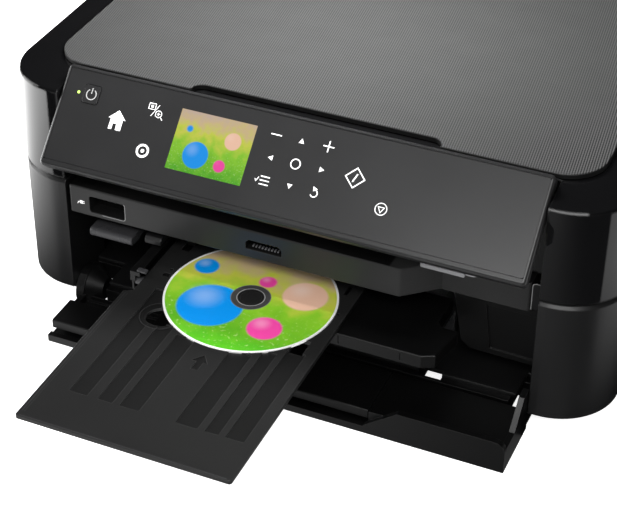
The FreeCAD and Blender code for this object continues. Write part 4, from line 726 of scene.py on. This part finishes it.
# ---------------------------------------------------------------------------------------
# Small pieces round the mouth, in millimetres, with y counted from the casing's front
# ---------------------------------------------------------------------------------------
CONTACT_COUNT, CONTACT_PITCH, CONTACT_WIDTH = 9, 2.35, 1.1
FIRST_CONTACT = -30.4
CONTACT = [(4.0, 91.0), (7.0, 91.0), (7.0, 91.9), (4.8, 91.9)]
PAN_LIP = [(3.2, 2.6), (6.4, 2.6), (6.4, 7.4), (5.3, 7.4), (5.3, 3.8), (3.2, 3.8)]
PAN_LIP_ENDS = (-168, 75)
LEFT_POCKET = [(-172.8, 35.4), (-150.1, 35.4), (-150.1, 41), (-151.6, 41), (-151.6, 36.9),
               (-172.8, 36.9)]
RIGHT_POCKET = [(158.1, 30.4), (172.6, 30.4), (172.6, 31.9), (159.6, 31.9), (159.6, 37),
                (158.1, 37)]
POCKET_LEVELS = (3.2, 16.4)
LEVER_ARM = [(5, 76.6), (3, 74.8), (3, 71.2), (24, 71.2), (24, 76.6)]
LEVER_ARM_ENDS = (-113.8, -101.0)
CHEEK_LEFT, CHEEK_RIGHT, CHEEK_LOW, CHEEK_TOP = 162.8, 173.2, 84, 106.2
CHEEK_BEND = (165.6, 103.4)         # middle of its rounded corner
CHEEK_FRONT, CHEEK_BACK = 22.4, 26
# The bright line round the cheek's corner is a painted highlight
CHEEK_RADIUS, EDGE_RADIUS = 2.8, 2.5    # of the corner, and of the bright line round it
EDGE_TOP_END, EDGE_FOOT = 5.5, -18.8    # ends of that line from the corner's middle


def moulded(name, outline, near, far, axis, look, bevel=0.3):
    """A piece of one outline between two levels, with softened edges, on the base.

    The outline lies across the axis: (y, z) for X, (x, z) for Y and (x, y) for Z.
    """
    mesh = bmesh.new()

    def spot(point, level):
        place = list(point)
        place.insert("XYZ".index(axis), level)
        place[1] += FRONT / MM
        return mesh.verts.new(Vector(place) * MM)

    foot = [spot(point, near) for point in outline]
    top = [spot(point, far) for point in outline]
    mesh.faces.new(foot)
    mesh.faces.new(top)
    for i in range(len(outline)):
        j = (i + 1) % len(outline)
        mesh.faces.new((foot[i], foot[j], top[j], top[i]))
    bmesh.ops.recalc_face_normals(mesh, faces=mesh.faces)
    bmesh.ops.bevel(mesh, geom=mesh.edges[:], offset=bevel * MM, segments=2, profile=0.5,
                    affect="EDGES")
    add_piece(mesh, name, "base", MATERIALS[look])


def card_contacts():
    """Row of contact fingers that show in the card slot."""
    for i in range(CONTACT_COUNT):
        left = FIRST_CONTACT + CONTACT_PITCH * i
        moulded("card_contact_%d" % (i + 1), CONTACT, left, left + CONTACT_WIDTH, "X",
                "mid grey", 0.15)


def mouth_pieces():
    """Lip in front of the pan's tongue and the two walls that close the hinge pockets."""
    moulded("pan_lip", PAN_LIP, *PAN_LIP_ENDS, "X", "satin")
    moulded("left_pocket_wall", LEFT_POCKET, *POCKET_LEVELS, "Z", "satin")
    moulded("right_pocket_wall", RIGHT_POCKET, *POCKET_LEVELS, "Z", "satin")


def bar_pieces():
    """Arm beside the finger lever, and the cheek at the bar's right end with a painted highlight
    along its edge.
    """
    moulded("lever_arm", LEVER_ARM, *LEVER_ARM_ENDS, "X", "arm grey", 0.5)
    cheek = [(CHEEK_LEFT, CHEEK_LOW), (CHEEK_RIGHT, CHEEK_LOW), (CHEEK_RIGHT, CHEEK_TOP),
             (CHEEK_BEND[0], CHEEK_TOP)]
    cheek += circle(CHEEK_RADIUS, 100, 180, 5, CHEEK_BEND)
    moulded("bar_cheek", cheek, CHEEK_FRONT, CHEEK_BACK, "Y", "gloss", 0.4)
    # Painted highlight line round the cheek's corner
    across, height = CHEEK_BEND
    before = CHEEK_FRONT - INK
    marks = Print(RIGHT, UP).at(Vector((across, FRONT / MM + before, height)) * MM)
    marks.line([(EDGE_TOP_END, EDGE_RADIUS), *circle(EDGE_RADIUS, 90, 180, 8),
                (-EDGE_RADIUS, EDGE_FOOT)], 0.6)
    marks.finish("bar_cheek_highlight", "base", MATERIALS["painted highlight"])


panel_marks()
power_mark()
bar_mark()
recess_highlight()
card_contacts()
caddy_highlight_lines()
mouth_pieces()
bar_pieces()

# ---------------------------------------------------------------------------------------
# Studio: floor, lights, camera
# ---------------------------------------------------------------------------------------
PHOTO_WIDTH, PHOTO_HEIGHT = 617, 530
FOCAL_PX = 1776.9
CENTRE_PX = (294.1, 252.7)
SENSOR_WIDTH = 36.0
NEAREST, FARTHEST = 0.05, 20
CAMERA_PLACE = Vector((399.1, -981.35, 791.6)) * MM
AZIMUTH, ELEVATION, ROLL = math.radians(24.0), math.radians(35.44), math.radians(0.10)

# Lamps: name, place, point aimed at, size, power, and whether mirrors see them
LAMPS = (
    ("top", (-0.3, 0.9, 1.7), (0, 0.1, 0.1), (1.6, 1.2), 22, False),
    ("front", (0.35, -1.38, 1.5), (0, -0.1, 0.15), (1.6, 0.5), 20, True),
    ("lid", (-0.04, 0.05, 0.42), (-0.04, 0.05, 0.18), (0.2, 0.15), 3.7, False),
    ("left", (-1.5, -0.3, 0.5), (-0.2, -0.03, 0.08), (0.8, 1.2), 12, True),
)
# Cards: name, corners, strength, where the fade starts and ends, and its dark end
CARDS = (
    ("left_card", [(-0.189, -0.090), (-1.2, -1.21), (-2.5, 0.2), (-2.5, 1.5), (-0.235, 0.30)],
     5.6, 0.20, 0.62, (0, 0)),
    ("right_card", [(0.205, -0.083), (1.8, -0.364), (2.5, 0.2), (2.5, 1.5), (0.235, 0.30)],
     1.1, 0.24, 0.45, (0, 0)),
    ("front_card", [(-0.16, -0.095), (-1.0, -1.3), (1.3, -1.3), (0.205, -0.095)],
     1.5, 0.55, 1.5, (0.9, -0.1)),
)
CARD_LEVEL, FLOOR_LEVEL = -1.0 * MM, -0.2 * MM
FLOOR_REACH = 15


def camera():
    """The photograph's viewpoint."""
    back = Vector((math.sin(AZIMUTH) * math.cos(ELEVATION),
                   -math.cos(AZIMUTH) * math.cos(ELEVATION), math.sin(ELEVATION)))
    right = Vector((math.cos(AZIMUTH), math.sin(AZIMUTH), 0))
    up = back.cross(right)
    right, up = (right * math.cos(ROLL) + up * math.sin(ROLL),
                 up * math.cos(ROLL) - right * math.sin(ROLL))
    data = bpy.data.cameras.new("camera")
    data.sensor_width = SENSOR_WIDTH
    data.lens = FOCAL_PX * SENSOR_WIDTH / PHOTO_WIDTH
    data.shift_x = (PHOTO_WIDTH / 2 - CENTRE_PX[0]) / PHOTO_WIDTH
    data.shift_y = (CENTRE_PX[1] - PHOTO_HEIGHT / 2) / PHOTO_WIDTH
    data.clip_start = NEAREST
    data.clip_end = FARTHEST
    eye = bpy.data.objects.new("camera", data)
    turn = Matrix((right, up, back)).transposed()
    eye.matrix_world = Matrix.Translation(CAMERA_PLACE) @ turn.to_4x4()
    scene.collection.objects.link(eye)
    scene.camera = eye


def soft_box(name, place, aim, size, power, glossy):
    """A rectangular lamp at a place, aimed at a point."""
    data = bpy.data.lights.new(name, "AREA")
    data.shape = "RECTANGLE"
    data.size, data.size_y = size
    data.energy = power
    lamp = bpy.data.objects.new(name, data)
    lamp.location = place
    lamp.rotation_euler = (Vector(aim) - Vector(place)).to_track_quat("-Z", "Y").to_euler()
    lamp.visible_glossy = glossy
    scene.collection.objects.link(lamp)


def flat_sheet(name, corners, level, material):
    """A level sheet that belongs to the studio and not to the object."""
    data = bpy.data.meshes.new(name)
    data.from_pydata([(x, y, level) for x, y in corners], [], [range(len(corners))])
    data.materials.append(material)
    sheet = bpy.data.objects.new(name, data)
    scene.collection.objects.link(sheet)
    return sheet


def card(name, corners, strength, near, far, dark_end):
    """A white card on the floor that only mirrors see, brighter away from its dark end."""
    surface = Surface(name)
    away = surface.distance(surface.place, dark_end)
    fade = surface.spread(away, near, far)
    emission = surface.node("ShaderNodeEmission")
    surface.link(surface.math("MULTIPLY", fade, strength), emission.inputs["Strength"])
    surface.link(emission.outputs["Emission"],
                 surface.tree.nodes["Material Output"].inputs["Surface"])
    surface.material.cycles.emission_sampling = "NONE"
    sheet = flat_sheet(name, corners, CARD_LEVEL, surface.material)
    for sense in ("camera", "diffuse", "transmission", "shadow"):
        setattr(sheet, "visible_" + sense, False)


def pale_floor():
    """White floor that mirrors don't see."""
    surface = Surface("pale_floor")
    surface.wire(surface.varied(3.0, 0.90, 0.92), "Base Color")
    surface.set(Roughness=0.9, Specular_IOR_Level=0.1, Emission_Strength=0.85,
                Emission_Color=(1, 1, 1, 1))
    floor = flat_sheet("floor", oblong(FLOOR_REACH, FLOOR_REACH), FLOOR_LEVEL,
                       surface.material)
    floor.visible_glossy = False


def white_world():
    """Even white surroundings that mirrors don't see."""
    world = bpy.data.worlds.new("studio")
    world.use_nodes = True
    background = world.node_tree.nodes["Background"]
    background.inputs["Color"].default_value = (1, 1, 1, 1)
    background.inputs["Strength"].default_value = 0.9
    world.cycles_visibility.glossy = False
    scene.world = world
    scene.view_settings.view_transform = "Standard"


def studio():
    """Floor, surroundings, lamps and cards."""
    pale_floor()
    white_world()
    for lamp in LAMPS:
        soft_box(*lamp)
    for sheet in CARDS:
        card(*sheet)


camera()
studio()


# ---------------------------------------------------------------------------------------
# Last update of the view layer
# ---------------------------------------------------------------------------------------
bpy.context.view_layer.update()
